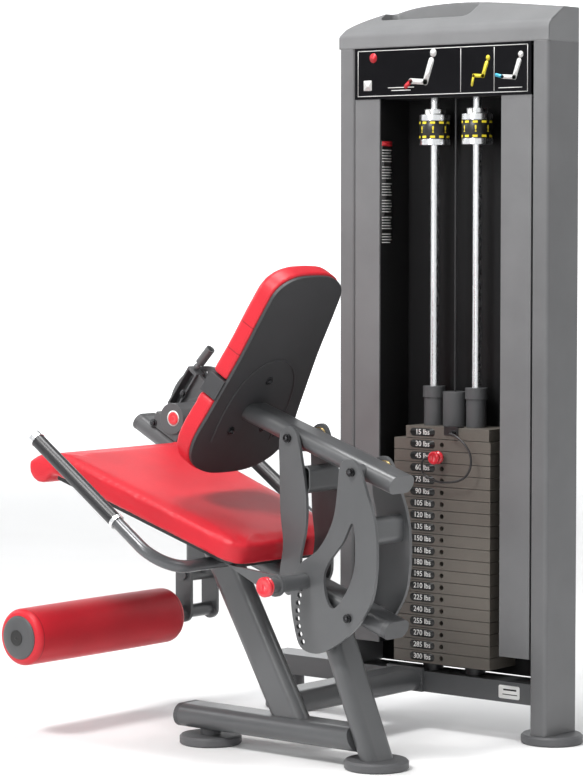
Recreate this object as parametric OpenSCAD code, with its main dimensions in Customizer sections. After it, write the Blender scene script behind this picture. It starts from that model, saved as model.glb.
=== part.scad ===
// Leg extension machine: a seat frame with an adjustable back, a movement arm
// with a shin roller, and a weight tower beside it.
// The origin is on the floor at the middle of the rear foot of the seat frame.
// The user faces -Y, the tower stands at -X, and +Z is up.

/* [Seat frame] */
// Wide side of the flat-oval frame tubes
tube_w = 76; // [66:1:84]
// Narrow side of the flat-oval frame tubes
tube_t = 38; // [32:1:44]
// Wall of the frame tubes
tube_wall = 3; // [2:0.5:4]
// Wide side of the floor tube and the tie tube
floor_tube_w = 92; // [84:1:100]
// Narrow side of the floor tube and the tie tube
floor_tube_t = 48; // [40:1:54]
// Height of the underside of the floor tube
floor_gap = 33; // [28:1:40]
// Length of the floor tube in front of the rear foot
floor_tube_len = 492; // [450:2:600]
// Slope of the seat, the main tube and the back carriage
tilt = 18.7; // [15:0.1:21]
// Lean of the rear post from upright
rear_post_lean = 22.5; // [16:0.5:26]
// Lean of the front post from upright
front_post_lean = 29.9; // [25:0.5:33]
// Foot disc diameter
foot_d = 130; // [100:1:150]
// Foot disc height
foot_h = 19.5; // [12:0.5:26]

/* [Seat] */
// Width of the seat at the front
seat_front_w = 430; // [380:2:440]
// Width of the seat at the rear
seat_rear_w = 366; // [340:2:380]
// Thickness of the seat pad
seat_t = 46; // [34:1:60]
// Thickness of the board under the seat pad
board_t = 8; // [6:1:18]
// Radius of the rolled front edge of the seat
roll_r = 32; // [26:1:34]

/* [Handles] */
// Distance of each handle from the middle of the seat
handle_x = 281; // [270:1:294]
// Handle tube diameter
handle_d = 25.4; // [20:0.2:27]
// Diameter of the rubber grip
grip_d = 30; // [29:0.5:34]
// Length of the rubber grip
grip_len = 262; // [150:2:300]

/* [Back adjuster] */
// Distance between the two pivots along the main tube
pivot_gap = 182; // [168:1:196]
// Length of the links, from lower pivot to upper pivot
link_len = 290; // [270:1:310]
// Thickness of the link plates
link_t = 8; // [6:0.5:9]
// Pivot pin diameter
pin_d = 16; // [12:0.5:18]
// Radius from the rear lower pivot to the adjustment holes
hole_r = 130; // [124:1:134]
// Angle between neighbouring adjustment holes
hole_step = 7; // [6.5:0.1:7.5]
// Number of adjustment holes
hole_count = 9; // [8:1:9]

/* [Back pad] */
// Recline of the back pad from upright
back_lean = 30.5; // [27:0.5:34]
// Length of the back pad
back_len = 479; // [430:1:520]
// Widest width of the back pad, near its bottom
back_low_w = 304; // [280:2:320]
// Width of the back pad near its top
back_top_w = 222; // [200:2:260]
// Thickness of the back pad
back_t = 43; // [36:1:50]
// Thickness of the shell behind the back pad
shell_t = 7; // [5:0.5:10]

/* [Knee axis] */
// Height of the knee axis
knee_z = 652; // [640:1:664]
// Knee axis in front of the rear foot
knee_y = 757; // [750:1:765]
// Slope of the tube that carries the knee axis
knee_tilt = 27.4; // [25:0.2:29]
// Knee shaft diameter
shaft_d = 28; // [22:1:32]
// Radius of the cable drum, at the cable
drum_r = 75; // [60:1:85]
// Radius of the start disc
disc_r = 112; // [96:1:118]

/* [Movement arm] */
// Distance from the knee axis down to the shin lever pivot
arm_len = 349; // [320:1:365]
// Distance from the shin lever pivot down to the roller axis
shin_len = 84; // [80:1:100]
// Roller diameter
roller_d = 120; // [100:1:130]
// Roller length
roller_len = 458; // [420:2:464]
// Roller tube diameter
roller_tube_d = 30; // [24:1:34]

/* [Weight tower] */
// Height of the tower up to the lower edge of its cap
tower_h = 1458; // [1456:2:1560]
// Width of the tower, front to rear
tower_w = 550; // [546:2:600]
// Depth of the tower, side to side
tower_d = 109; // [109:1:130]
// Distance of the tower's near face from the middle of the seat
tower_x = 406; // [404:1:440]
// Rear face of the tower behind the rear foot
tower_rear = 126; // [110:1:140]
// Height of the placard
placard_h = 109; // [90:1:112]

/* [Weight stack] */
// Pitch of the weight plates
plate_pitch = 25.4; // [24:0.1:25.6]
// Number of plates below the head plate
plate_count = 19; // [10:1:19]
// Number of plates hung on the selector pin
lifted_count = 2; // [1:1:8]
// Width of the weight plates
plate_w = 254; // [244:1:262]
// Depth of the weight plates
plate_d = 94; // [84:1:94]
// Guide rod diameter
rod_d = 19; // [16:0.5:22]
// Distance between the guide rods
rod_gap = 112; // [108:1:124]

/* [Hidden] */
$fn = 48;
eps = 0.01;
far = 2000;               // longer than the machine, for cuts
run = 0.06;               // radial clearance of running fits
side_gap = 0.15;          // clearance beside links and hubs
soft_gap = 0.3;           // clearance round soft pads
loose = 0.8;              // radial clearance of plates on rods
smooth = 5;               // curve steps between outline points

grey = "#5c5d60";
dark = "#2e2f31";
light = "#8d9093";
silver = "#c9cbce";
steel = "#e4e6e9";
red = "#d3202c";
black = "#17181a";
brass = "#c9a75a";
iron = "#57544f";

// seat frame
floor_z = floor_gap + floor_tube_t / 2;
floor_top = floor_gap + floor_tube_t;
floor_rear = -15;
front_foot_y = -440;
neck_d = 44;
cap_t = 12;
post_w = 80;
post_t = 40;
post_start = 60;          // length below the joint that a post is cut from
front_post_y = -222;
tie_y = -250;
rear_pivot = [-20, 306];
front_pivot = rear_pivot + pivot_gap * [-cos(tilt), sin(tilt)];
main_rear = 62;           // main tube behind the rear pivot
main_front = 672;         // main tube in front of the rear pivot
seat_s0 = 216;            // rear edge of the seat, in front of the rear pivot
seat_s1 = 742;            // front end of the flat of the seat
roll_s = 757;             // middle of the front roll
roll_drop = 14;
corner_r = 45;
board_inset = 16;
board_front = 712;

// handles
handle_at = [-318, 400];
handle_up = 34.8;
handle_reach = 419;
bend_r = 75;
handle_cap = 13;
ring_w = 8;

// links
link_shift = 8;
rise = sqrt(link_len * link_len - link_shift * link_shift);
rear_top = rear_pivot + [link_shift, rise];
front_top = front_pivot + [link_shift, rise];
boss_r = 15;
washer_t = 1.5;
washer_r = 17;
head_r = 8.5;
head_t = 6;
front_link_x = 46;
rear_link_x = 58;
rear_far_x = 41;
cross_w = 56;
cross_t = 30;
front_cross = [36, -82];  // cross tube of the front link, from its upper pivot
rear_cross = [34, -116];
first_hole = 30;          // angle of the hole in line with the adjuster pin
pop_r = 5;
pop_hole_r = 5.6;
pop_at = rear_pivot + hole_r * [-cos(first_hole), sin(first_hole)];
housing_r = 16;
housing_x = 177;
pop_knob_r = 20;
pop_plate_x = 150;
front_edge = [[-22, 3], [-22, -70], [-20, -150], [-13, -215], [-22, -rise + 8]];
link_foot = [0, -rise - 27];
rear_edge = [[28, -rise + 8], [32, -235], [45, -180], [47, -120], [37, -55], [21, 10]];
sector = [[-21, 302], [2, 315], [24, 302], [46, 250], [66, 190], [71, 120], [62, 50],
    [38, 5], [6, -30], [-40, -62], [-82, -78], [-122, -68], [-139, -25], [-147, 25],
    [-141, 70], [-122, 100], [-74, 134], [-40, 190], [-28, 250]];
far_edge = [[-21, 302], [2, 315], [24, 302], [46, 250], [66, 190], [71, 120], [62, 50],
    [38, 5], [14, -26], [-14, -24], [-27, 2], [-22, 60], [-8, 120], [-12, 190], [-24, 250]];
window = [[10, 190], [18, 140], [14, 95], [0, 60], [-24, 26], [-44, 17], [-58, 40],
    [-62, 80], [-46, 112], [-14, 150]];

// back pad
back_foot = [-395.5, 567];
carriage_rear = 66;
carriage_len = 520;
band_low = 184;
band_high = 228;
shell_inset = 4;

// knee axis and the parts on it, from the seat outwards
knee = [-knee_y, knee_z];
knee_x = -268;
knee_drop = 62;           // knee axis above the middle of the knee tube
knee_front = 84;         // knee axis behind the knee tube's front end
knee_tube_len = 338;
knee_cross_s = 621;       // cross tube of the knee tube, in front of the rear pivot
knee_end = knee - knee_front * [cos(knee_tilt), -sin(knee_tilt)]
    - knee_drop * [sin(knee_tilt), cos(knee_tilt)];
bracket_w = 64;
hub_r = 34;
bush_wall = 6;
arm_x = -328;
arm_w = 76;
arm_t = 32;
arm_hub_r = 42;
disc_x = arm_x - arm_t / 2 - 1 - 10;
disc_t = 10;
shaft_near = -236;
shin_z = knee_z - arm_len;
roller_z = shin_z - shin_len;
pivot_tube_r = 17;
shin_pin_r = 8;
shin_near = -276;
shin_far = -355;
shin_plate_w = 45;
shin_plate_t = 8;
roller_near = 245;
roller_far = roller_near - roller_len;
roller_cap_r = 46;
roller_cap_t = 9;
lever_low = [-77, 18];
lever_high = [-13, 103];
grip_low = [-10, 111];
grip_high = [30, 152];
lever_t = 26;

// tower
tower_front = tower_rear - tower_w;
tower_mid = -tower_x - tower_d / 2;
col_w = 42;
base_h = 44;
base_z = 79;
base_d = 76;
base_near = -424;
base_front = -648;
tower_foot_y = -596;
groove = 2;
opening_front = -314;
opening_rear = 6;
panel_t = 4;
panel_z0 = 178;
panel_in = 2;
placard_t = 3;
placard_z0 = tower_h - placard_h;
cap_rise = 75;
cap_edge = 30;
cap_wall = 6;
tray_floor = 58;
tray_front = -344;
tray_w = 235;
tray_d = 58;

// weight stack
stack_x = -464;
stack_y = -152;
bumper_h = 20;
bumper_r = 22;
stack_z0 = base_z + base_h + bumper_h;
head_w = 219;
head_shift = 14;
head_z = stack_z0 + plate_count * plate_pitch;
plate_gap = 1.2;
stem_r = 12;
bore_r = 4.6;
bore_deep = 200;
sel_z = head_z - (lifted_count - 0.5) * plate_pitch;
sel_r = 4.75;
anchor_r = 26;
anchor_h = 74;
sleeve_r = 21.5;
sleeve_h = 84;
collar_r = 24;
collar_h = 24;
bracket_z = placard_z0;
addon_z0 = tower_h - 208;
addon_h = 76;
addon_r = 33;
plate_near = stack_x + plate_d / 2;

// cable and pulleys
cable_r = 2.4;
cable_end = head_z + plate_pitch + 30;
top_r = 38;
low_r = 28;
flange = 4;
pulley_w = 18;
axle_r = 7;
top_z = tower_h - 58;
run_y = -322;
top_mid = [stack_y - top_r, top_z];
top_front = [run_y + top_r, top_z];
drum_z = knee_z - drum_r;
low_front = [run_y - low_r, drum_z + low_r];

// lanyard of the selector pin: its route and thickness
cord_r = 2.4;
cord_sides = 8;
cord_route = [[-395, -115, 641], [-391, -98, 637], [-390, -74, 622], [-390, -58, 600],
    [-390, -56, 577], [-390, -66, 556], [-390, -86, 543], [-390, -112, 538], [-390, -138, 537],
    [-390, -163, 543], [-390, -181, 554], [-391, -186, 570], [-391, -181, 582], [-391, -169, 587]];

// ---- shapes ----

// flat-oval outline, w across x and t across y
module oval(w, t) {
    long = max(w, t) - min(w, t);
    along_x = w > t ? 1 : 0;
    square([along_x * long + (1 - along_x) * w, along_x * t + (1 - along_x) * long], center = true);
    for (s = [-0.5, 0.5])
        translate(s * long * [along_x, 1 - along_x]) circle(d = min(w, t));
}

// runs an outline along a line in the yz plane from a, at an angle up from +Y
module along(a, up, len) {
    translate([0, a[0], a[1]])
        rotate([up - 90, 0, 0])
            linear_extrude(len) children();
}

module bar(a, up, len, w, t) {
    along(a, up, len) oval(w, t);
}

module tube(a, up, len, w, t) {
    along(a, up, len) difference() {
        oval(w, t);
        oval(w - 2 * tube_wall, t - 2 * tube_wall);
    }
}

// round bar across the machine at y, z
module cross_rod(at, r, x0, x1) {
    translate([min(x0, x1), at[0], at[1]])
        rotate([0, 90, 0])
            cylinder(r = r, h = abs(x1 - x0));
}

// flat plate in the yz plane, from x0 towards +X
module plate_yz(x0, t) {
    translate([x0, 0, 0])
        rotate([90, 0, 90])
            linear_extrude(t) children();
}

module box(x0, x1, y0, y1, z0, z1) {
    translate([x0, y0, z0]) cube([x1 - x0, y1 - y0, z1 - z0]);
}

// smooth closed curve through the points p
function spline(p, n = smooth) = [for (i = [0 : len(p) - 1])
    let (a = p[(i + len(p) - 1) % len(p)], b = p[i], c = p[(i + 1) % len(p)], d = p[(i + 2) % len(p)])
    for (k = [0 : n - 1])
        let (t = k / n)
        0.5 * (2 * b + (c - a) * t + (2 * a - 5 * b + 4 * c - d) * t * t
            + (3 * b - a - 3 * c + d) * t * t * t)];

function arc(c, r, a0, a1, n = 8) = [for (k = [0 : n])
    c + r * [cos(a0 + (a1 - a0) * k / n), sin(a0 + (a1 - a0) * k / n)]];

// distance of the rear link's plate on side s from the middle
function rear_x(s) = s > 0 ? rear_link_x : rear_far_x;

// place on the slope of the seat: s forwards from the rear pivot, n square to it
function on_slope(s, n) = rear_pivot + s * [-cos(tilt), sin(tilt)] + n * [sin(tilt), cos(tilt)];

module slope_frame() {
    translate([0, rear_pivot[0], rear_pivot[1]])
        rotate([-tilt, 0, 0])
            rotate([0, 0, 180]) children();
}

// frame of the back: y up its rear face, z out of its front
module back_frame() {
    translate([0, back_foot[0], back_foot[1]])
        rotate([90 - back_lean, 0, 0]) children();
}

// ---- seat frame ----

module foot(x, y, top) {
    translate([x, y, 0]) {
        rotate_extrude() polygon([[0, 0], [foot_d / 2 - 3, 0], [foot_d / 2, 3],
            [foot_d / 2, foot_h - 4], [foot_d / 2 - 4, foot_h], [0, foot_h]]);
        if (top > foot_h) translate([0, 0, foot_h - 1]) cylinder(d = neck_d, h = top - foot_h + 1);
    }
}

module feet() {
    color(grey) {
        foot(0, 0, foot_h);
        foot(0, front_foot_y, floor_gap);
        foot(tower_mid, tower_rear - col_w / 2, foot_h);
        foot(base_near - base_d / 2, tower_foot_y, base_z);
    }
}

module rear_post_slab(w) {
    bar([0, foot_h] + post_start * [sin(rear_post_lean), -cos(rear_post_lean)],
        90 + rear_post_lean, far / 4, w, post_t);
}

module floor_tube() {
    color(grey) difference() {
        union() {
            tube([-floor_tube_len, floor_z], 0, floor_tube_len + floor_rear, floor_tube_w, floor_tube_t);
            intersection() {
                bar([-floor_tube_len, floor_z], 0, floor_tube_len + floor_rear, floor_tube_w, floor_tube_t);
                translate([0, -2 * tube_wall, 0]) rear_post_slab(far / 5);
            }
        }
        rear_post_slab(far / 5);
    }
}

module main_bar() {
    bar(on_slope(-main_rear, 0), 180 - tilt, main_rear + main_front, tube_w, tube_t);
}

module above_main(n) {
    slope_frame() translate([-far / 2, -far / 4, n]) cube([far, far, far / 4]);
}

module rear_post() {
    color(grey) difference() {
        tube([0, foot_h] + post_start * [sin(rear_post_lean), -cos(rear_post_lean)],
            90 + rear_post_lean, far / 4, post_w, post_t);
        box(-far / 2, far / 2, -far / 2, far / 2, -far / 4, foot_h);
        main_bar();
        above_main(0);
    }
}

module front_post() {
    color(grey) difference() {
        tube([front_post_y, floor_top] + post_start * [sin(front_post_lean), -cos(front_post_lean)],
            90 + front_post_lean, far / 3, post_t, post_w);
        box(-far / 2, far / 2, -far / 2, far / 2, -far / 4, floor_top);
        above_main(-tube_t / 2);
    }
}

module tie_tube() {
    color(dark) {
        translate([-post_t / 2, tie_y, floor_top + floor_tube_t / 2])
            rotate([0, -90, 0])
                linear_extrude(-base_near - post_t / 2 - 8) difference() {
                    oval(floor_tube_t, floor_tube_w);
                    oval(floor_tube_t - 2 * tube_wall, floor_tube_w - 2 * tube_wall);
                }
        box(base_near, base_near + 8, tie_y - floor_tube_w / 2 - 2, tie_y + floor_tube_w / 2 + 2,
            base_z, base_z + base_h + 8);
    }
}

module main_tube() {
    color(grey) difference() {
        union() {
            tube(on_slope(-main_rear, 0), 180 - tilt, main_rear + main_front, tube_w, tube_t);
            difference() {
                for (s = [-1, 1]) {
                    cross_rod(front_pivot, boss_r, s * (tube_w / 2 - 6), s * (front_link_x - side_gap));
                    cross_rod(rear_pivot, boss_r, s * (tube_w / 2 - 6), s * (rear_x(s) - side_gap));
                }
                bar(on_slope(-main_rear, 0), 180 - tilt, main_rear + main_front,
                    tube_w - 2 * tube_wall, tube_t - 2 * tube_wall);
            }
        }
        cross_rod(front_pivot, pin_d / 2, -rear_link_x, rear_link_x);
        cross_rod(rear_pivot, pin_d / 2, -rear_link_x, rear_link_x);
        handle_pair(handle_d / 2);
    }
}

module end_cap(a, up, w, t) {
    bar(a, up, cap_t, w, t);
}

module frame_end_caps() {
    color(dark) {
        end_cap(on_slope(-main_rear, 0), -tilt, tube_w, tube_t);
        end_cap(on_slope(main_front, 0), 180 - tilt, tube_w, tube_t);
        end_cap([-floor_tube_len, floor_z], 180, floor_tube_w, floor_tube_t);
        translate([knee_x, 0, 0]) end_cap(knee_end, 180 - knee_tilt, tube_w, tube_t);
        translate([knee_x, 0, 0])
            end_cap(knee_end + knee_tube_len * [cos(knee_tilt), -sin(knee_tilt)], -knee_tilt, tube_w, tube_t);
    }
}

// the knee tube beside the seat, and the cross tube that carries it
module knee_tube() {
    from = on_slope(knee_cross_s, -1.5);
    color(grey) difference() {
        union() {
            translate([knee_x, 0, 0]) tube(knee_end, -knee_tilt, knee_tube_len, tube_w, tube_t);
            difference() {
                translate([knee_x, from[0], from[1]])
                    rotate([-tilt, 0, 0]) rotate([0, 90, 0])
                        linear_extrude(-knee_x) difference() {
                            oval(tube_t, tube_w - 20);
                            oval(tube_t - 2 * tube_wall, tube_w - 20 - 2 * tube_wall);
                        }
                translate([knee_x, 0, 0])
                    bar(knee_end, -knee_tilt, knee_tube_len, tube_w - eps, tube_t - eps);
            }
        }
        main_bar();
        box(0, far, -far, far, -far, far);
    }
}

module knee_bracket() {
    n0 = tube_t / 2;
    color(grey) difference() {
        union() {
            translate([knee_x - bracket_w / 2, knee_end[0], knee_end[1]])
                rotate([-knee_tilt, 0, 0]) {
                    translate([0, 34, n0]) cube([bracket_w, knee_front + hub_r - 40, knee_drop - n0 - 10]);
                    translate([0, knee_front - hub_r + 3, n0]) cube([bracket_w, 2 * hub_r - 6, knee_drop - n0]);
                }
            cross_rod(knee, hub_r, knee_x - bracket_w / 2 - 1, knee_x + bracket_w / 2 + 5);
        }
        cross_rod(knee, shaft_d / 2 + bush_wall, -far, knee_x + bracket_w / 2 + 1);
    }
}

module knee_bushes() {
    color(brass) difference() {
        for (s = [-1, 1])
            cross_rod(knee, shaft_d / 2 + bush_wall, knee_x + s * bracket_w / 2,
                knee_x + s * (bracket_w / 2 - 22));
        cross_rod(knee, shaft_d / 2 + run, -far, far);
    }
}

// ---- seat ----

// outline of the seat, x across and y forwards along the slope
function seat_outline(inset, s1) =
    let (rw = seat_rear_w / 2 - inset, fw = seat_front_w / 2 - inset, s0 = seat_s0 + inset)
    concat(arc([rw - corner_r, s0 + corner_r], corner_r, -90, 0), [[fw, s1]],
        [[-fw, s1]], arc([-rw + corner_r, s0 + corner_r], corner_r, 180, 270));

module seat_board() {
    color(black) slope_frame() translate([0, 0, tube_t / 2]) linear_extrude(board_t)
        polygon(seat_outline(board_inset, board_front));
}

module seat_pad() {
    n0 = tube_t / 2 + board_t;
    color(red) slope_frame() union() {
        translate([0, 0, n0]) linear_extrude(seat_t) polygon(seat_outline(0, seat_s1));
        translate([-seat_front_w / 2, roll_s, n0 + seat_t - roll_r - roll_drop])
            rotate([0, 90, 0]) cylinder(r = roll_r, h = seat_front_w);
    }
}

// ---- handles ----

// path of the near handle: out from the main tube, a bend, then forwards and up
module handle_run(r) {
    translate([0, handle_at[0], handle_at[1]])
        rotate([180 - handle_up, 0, 0]) {
            rotate([0, 90, 0]) cylinder(r = r, h = handle_x - bend_r);
            translate([handle_x - bend_r, bend_r, 0])
                rotate([0, 0, -90]) rotate_extrude(angle = 90) translate([bend_r, 0]) circle(r = r);
            translate([handle_x, bend_r, 0])
                rotate([-90, 0, 0]) cylinder(r = r, h = handle_reach - bend_r);
        }
}

module handle_pair(r) {
    handle_run(r);
    mirror([1, 0, 0]) handle_run(r);
}

// a sleeve on the straight part of each handle, from reach a to reach b
module handle_sleeve(r0, r1, a, b) {
    for (m = [0, 1]) mirror([m, 0, 0])
        translate([0, handle_at[0], handle_at[1]])
            rotate([180 - handle_up, 0, 0])
                translate([handle_x, a, 0]) rotate([-90, 0, 0]) difference() {
                    cylinder(r = r1, h = b - a);
                    if (r0 > 0) translate([0, 0, -1]) cylinder(r = r0, h = b - a + 2);
                }
}

module handle_tubes() {
    color(silver) difference() {
        handle_pair(handle_d / 2);
        translate([0, handle_at[0], handle_at[1]])
            rotate([0, 90, 0]) cylinder(r = handle_d, h = 2 * (tube_w / 2 - tube_wall), center = true);
    }
}

module handle_grips() {
    color(black) handle_sleeve(handle_d / 2, grip_d / 2, handle_reach - grip_len, handle_reach);
}

module handle_ends() {
    color(steel) {
        handle_sleeve(0, grip_d / 2 + 1, handle_reach, handle_reach + handle_cap);
        handle_sleeve(handle_d / 2, grip_d / 2 + 1, handle_reach - grip_len - ring_w, handle_reach - grip_len);
    }
}

// ---- back adjuster ----

module pin_bracket() {
    up = on_slope(seat_s0 + 70, tube_t / 2);
    back = on_slope(seat_s0 + 30, tube_t / 2);
    color(grey) difference() {
        union() {
            cross_rod(pop_at, housing_r, rear_link_x + link_t + 0.6, housing_x);
            plate_yz(pop_plate_x, 8) union() {
                translate(pop_at) circle(r = 22);
                polygon([pop_at + [-14, -17], pop_at + [10, 19.5], back, up]);
            }
        }
        cross_rod(pop_at, pop_r + run, 0, far);
    }
}

// a pin through both plates of a link, near plate at x0 and far plate at -x1
module pivot_pin(at, x0, x1) {
    out = link_t + side_gap;
    cross_rod(at, pin_d / 2, -x1 - out - eps, x0 + out + eps);
    cross_rod(at, head_r, x0 + out, x0 + out + head_t);
    cross_rod(at, head_r, -x1 - out - head_t, -x1 - out);
}

module lower_pins() {
    color(black) {
        pivot_pin(front_pivot, front_link_x, front_link_x);
        pivot_pin(rear_pivot, rear_link_x, rear_far_x);
    }
}

module cross_tube(at, x0, x1) {
    translate([-x1, at[0], at[1]])
        rotate([0, 90, 0])
            linear_extrude(x0 + x1) difference() {
                oval(cross_w, cross_t);
                oval(cross_w - 2 * tube_wall, cross_t - 2 * tube_wall);
            }
}

module front_link() {
    outline = spline(concat([[0, 24]], front_edge, [link_foot], rear_edge));
    color(grey) {
        for (x = [-front_link_x - link_t, front_link_x])
            plate_yz(x, link_t) difference() {
                translate(front_top) polygon(outline);
                translate(front_top) circle(d = pin_d + 2 * run);
                translate(front_pivot) circle(d = pin_d + 2 * run);
            }
        cross_tube(front_top + front_cross, front_link_x, front_link_x);
    }
}

module rear_link() {
    color(grey) {
        for (side = [-1, 1])
            plate_yz(side > 0 ? rear_link_x : -rear_far_x - link_t, link_t) difference() {
                translate(rear_pivot) polygon(spline(side > 0 ? sector : far_edge));
                translate(rear_top) circle(d = pin_d + 2 * run);
                translate(rear_pivot) circle(d = pin_d + 2 * run);
                if (side > 0) {
                    translate(rear_pivot) polygon(spline(window));
                    for (i = [0 : hole_count - 1])
                        translate(rear_pivot + hole_r * [-cos(first_hole - i * hole_step),
                            sin(first_hole - i * hole_step)]) circle(r = pop_hole_r);
                }
            }
        cross_tube(rear_top + rear_cross, rear_link_x, rear_far_x);
    }
}

module carriage_tube() {
    start = rear_top - carriage_rear * [-cos(tilt), sin(tilt)];
    color(grey) {
        difference() {
            union() {
                tube(start, 180 - tilt, carriage_len, tube_w, tube_t);
                difference() {
                    for (s = [-1, 1]) {
                        cross_rod(front_top, boss_r, s * (tube_w / 2 - 6),
                            s * (front_link_x - side_gap - washer_t));
                        cross_rod(rear_top, boss_r, s * (tube_w / 2 - 6),
                            s * (rear_x(s) - side_gap - washer_t));
                    }
                    bar(start, 180 - tilt, carriage_len, tube_w - 2 * tube_wall, tube_t - 2 * tube_wall);
                }
            }
            cross_rod(front_top, pin_d / 2, -rear_link_x, rear_link_x);
            cross_rod(rear_top, pin_d / 2, -rear_link_x, rear_link_x);
            back_frame() translate([-far / 2, -far / 2, 0]) cube([far, far, far]);
        }
        end_cap(start, -tilt, tube_w, tube_t);
    }
}

module upper_pins() {
    color(black) {
        pivot_pin(front_top, front_link_x, front_link_x);
        pivot_pin(rear_top, rear_link_x, rear_far_x);
    }
}

module pivot_washers() {
    color(brass) difference() {
        for (s = [-1, 1]) {
            cross_rod(front_top, washer_r, s * (front_link_x - side_gap - washer_t),
                s * (front_link_x - side_gap));
            cross_rod(rear_top, washer_r, s * (rear_x(s) - side_gap - washer_t), s * (rear_x(s) - side_gap));
        }
        cross_rod(front_top, pin_d / 2, -far, far);
        cross_rod(rear_top, pin_d / 2, -far, far);
    }
}

// outline of the back, x across and y up
function back_half() = [[0, 0], [0.46 * back_low_w / 2, 6], [0.85 * back_low_w / 2, 34],
    [back_low_w / 2, 85], [0.93 * back_low_w / 2, 165], [back_top_w / 2 + 12, 290],
    [back_top_w / 2 + 2, back_len - 85], [back_top_w / 2 - 9, back_len - 33],
    [0.56 * back_top_w / 2, back_len - 6], [0, back_len]];

module back_outline(inset) {
    half = back_half();
    mid = [0, back_len / 2];
    ring = concat(half, [for (i = [len(half) - 2 : -1 : 1]) [-half[i][0], half[i][1]]]);
    polygon(spline([for (p = ring) p - inset * (p - mid) / norm(p - mid)]));
}

module back_shell() {
    color(dark) back_frame() union() {
        linear_extrude(shell_t) back_outline(shell_inset);
        intersection() {
            translate([0, 0, shell_t - 1]) linear_extrude(back_t + 1) back_outline(0);
            translate([-far / 2, band_low + soft_gap, shell_t - 1])
                cube([far, band_high - band_low - 2 * soft_gap, far]);
        }
    }
}

module back_pad() {
    color(red) back_frame() difference() {
        translate([0, 0, shell_t + soft_gap]) linear_extrude(back_t - soft_gap) back_outline(0);
        translate([-far / 2, band_low, 0]) cube([far, band_high - band_low, far]);
    }
}

module adjuster_pin() {
    color(red) {
        cross_rod(pop_at, pop_r, rear_link_x + link_t + 0.6, housing_x + 6);
        cross_rod(pop_at, pop_knob_r, housing_x + 5, housing_x + 15);
    }
}

// ---- knee axis ----

module knee_shaft() {
    color(steel) cross_rod(knee, shaft_d / 2, shaft_near, stack_x - pulley_w / 2 - 8);
}

module start_disc() {
    color(grey) difference() {
        union() {
            cross_rod(knee, disc_r, disc_x, disc_x + disc_t);
            cross_rod(knee, shaft_d / 2 + 9, disc_x - 14, disc_x + 1);
        }
        cross_rod(knee, shaft_d / 2, -far, far);
        for (i = [0 : 9])
            cross_rod(knee + (disc_r - 14) * [cos(150 - 12 * i), sin(150 - 12 * i)], pop_r, -far, far);
    }
}

module cable_drum() {
    color(black) translate([0, knee[0], knee[1]]) rotate([0, 90, 0]) difference() {
        translate([0, 0, stack_x]) rotate_extrude() difference() {
            translate([shaft_d / 2, -pulley_w / 2]) square([drum_r + flange - shaft_d / 2, pulley_w]);
            translate([drum_r, 0]) circle(r = cable_r + soft_gap);
            translate([drum_r, -cable_r - soft_gap]) square([2 * flange, 2 * (cable_r + soft_gap)]);
        }
    }
}

module movement_arm() {
    x1 = arm_x + arm_t / 2;
    color(grey) difference() {
        union() {
            translate([arm_x, 0, 0]) along([-knee_y, shin_z], 90, arm_len) oval(arm_t, arm_w);
            cross_rod(knee, arm_hub_r, x1 - arm_t, x1);
            cross_rod([-knee_y, shin_z], pivot_tube_r, shin_far + side_gap, shin_near - side_gap);
        }
        cross_rod(knee, shaft_d / 2 + run, -far, far);
        cross_rod([-knee_y, shin_z], shin_pin_r + run, -far, far);
    }
}

function unit(v) = v / norm(v);

module start_lever() {
    a = knee + lever_low;
    b = knee + lever_high;
    d = unit(b - a);
    q = [d[1], -d[0]];
    w = 15;
    x0 = arm_x - lever_t / 2;
    color(dark) difference() {
        union() {
            plate_yz(x0, lever_t) polygon([a - w * q, a + w * q, b + w * q, b - w * q]);
            plate_yz(arm_x - 5, 10) polygon([a + 6 * q, b + 6 * q, knee + [36, 60], knee + [30, 24],
                knee + [-36, 8]]);
        }
        plate_yz(x0 + 4, far) polygon([a + 6 * d - (w - 4) * q, a + 6 * d + (w - 4) * q,
            b - 6 * d + (w - 4) * q, b - 6 * d - (w - 4) * q]);
        cross_rod(knee, arm_hub_r, -far, far);
    }
}

module pull_grip() {
    a = knee + grip_low;
    b = knee + grip_high;
    up = atan2(b[1] - a[1], b[0] - a[0]);
    color(black) translate([arm_x, a[0], a[1]]) rotate([up - 90, 0, 0]) union() {
        sphere(r = 7.9);
        cylinder(r = 5, h = 20);
        translate([0, 0, 12]) cylinder(r = 10.5, h = norm(b - a) - 12);
    }
}

module shin_lever() {
    at = [-knee_y, shin_z];
    low = [-knee_y, roller_z];
    color(grey) {
        for (x = [shin_near, shin_far - shin_plate_t])
            plate_yz(x, shin_plate_t) {
                translate(at) circle(d = shin_plate_w);
                translate(low) circle(d = shin_plate_w);
                translate([at[0] - shin_plate_w / 2, low[1]]) square([shin_plate_w, shin_len]);
            }
        cross_rod(at, shin_pin_r, shin_far - shin_plate_t - 6, shin_near + shin_plate_t + 6);
        for (x = [shin_far - shin_plate_t - 7, shin_near + shin_plate_t])
            cross_rod(at, 13, x, x + 7);
        cross_rod(low, roller_tube_d / 2, shin_far - shin_plate_t, roller_near - 2);
    }
}

module roller_pad() {
    at = [-knee_y, roller_z];
    color(red) difference() {
        cross_rod(at, roller_d / 2, roller_far, roller_near);
        cross_rod(at, roller_tube_d / 2 + run, -far, far);
    }
}

module roller_caps() {
    at = [-knee_y, roller_z];
    color(dark) {
        translate([roller_near, at[0], at[1]]) rotate([0, 90, 0])
            rotate_extrude() polygon(concat([[0, 0]], [for (k = [0 : 8])
                [roller_cap_r * cos(k * 11.25), roller_cap_t * sin(k * 11.25)]]));
        difference() {
            cross_rod(at, roller_cap_r, roller_far - 4, roller_far);
            cross_rod(at, roller_tube_d / 2 + run, -far, far);
        }
    }
}

// ---- tower ----

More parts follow.
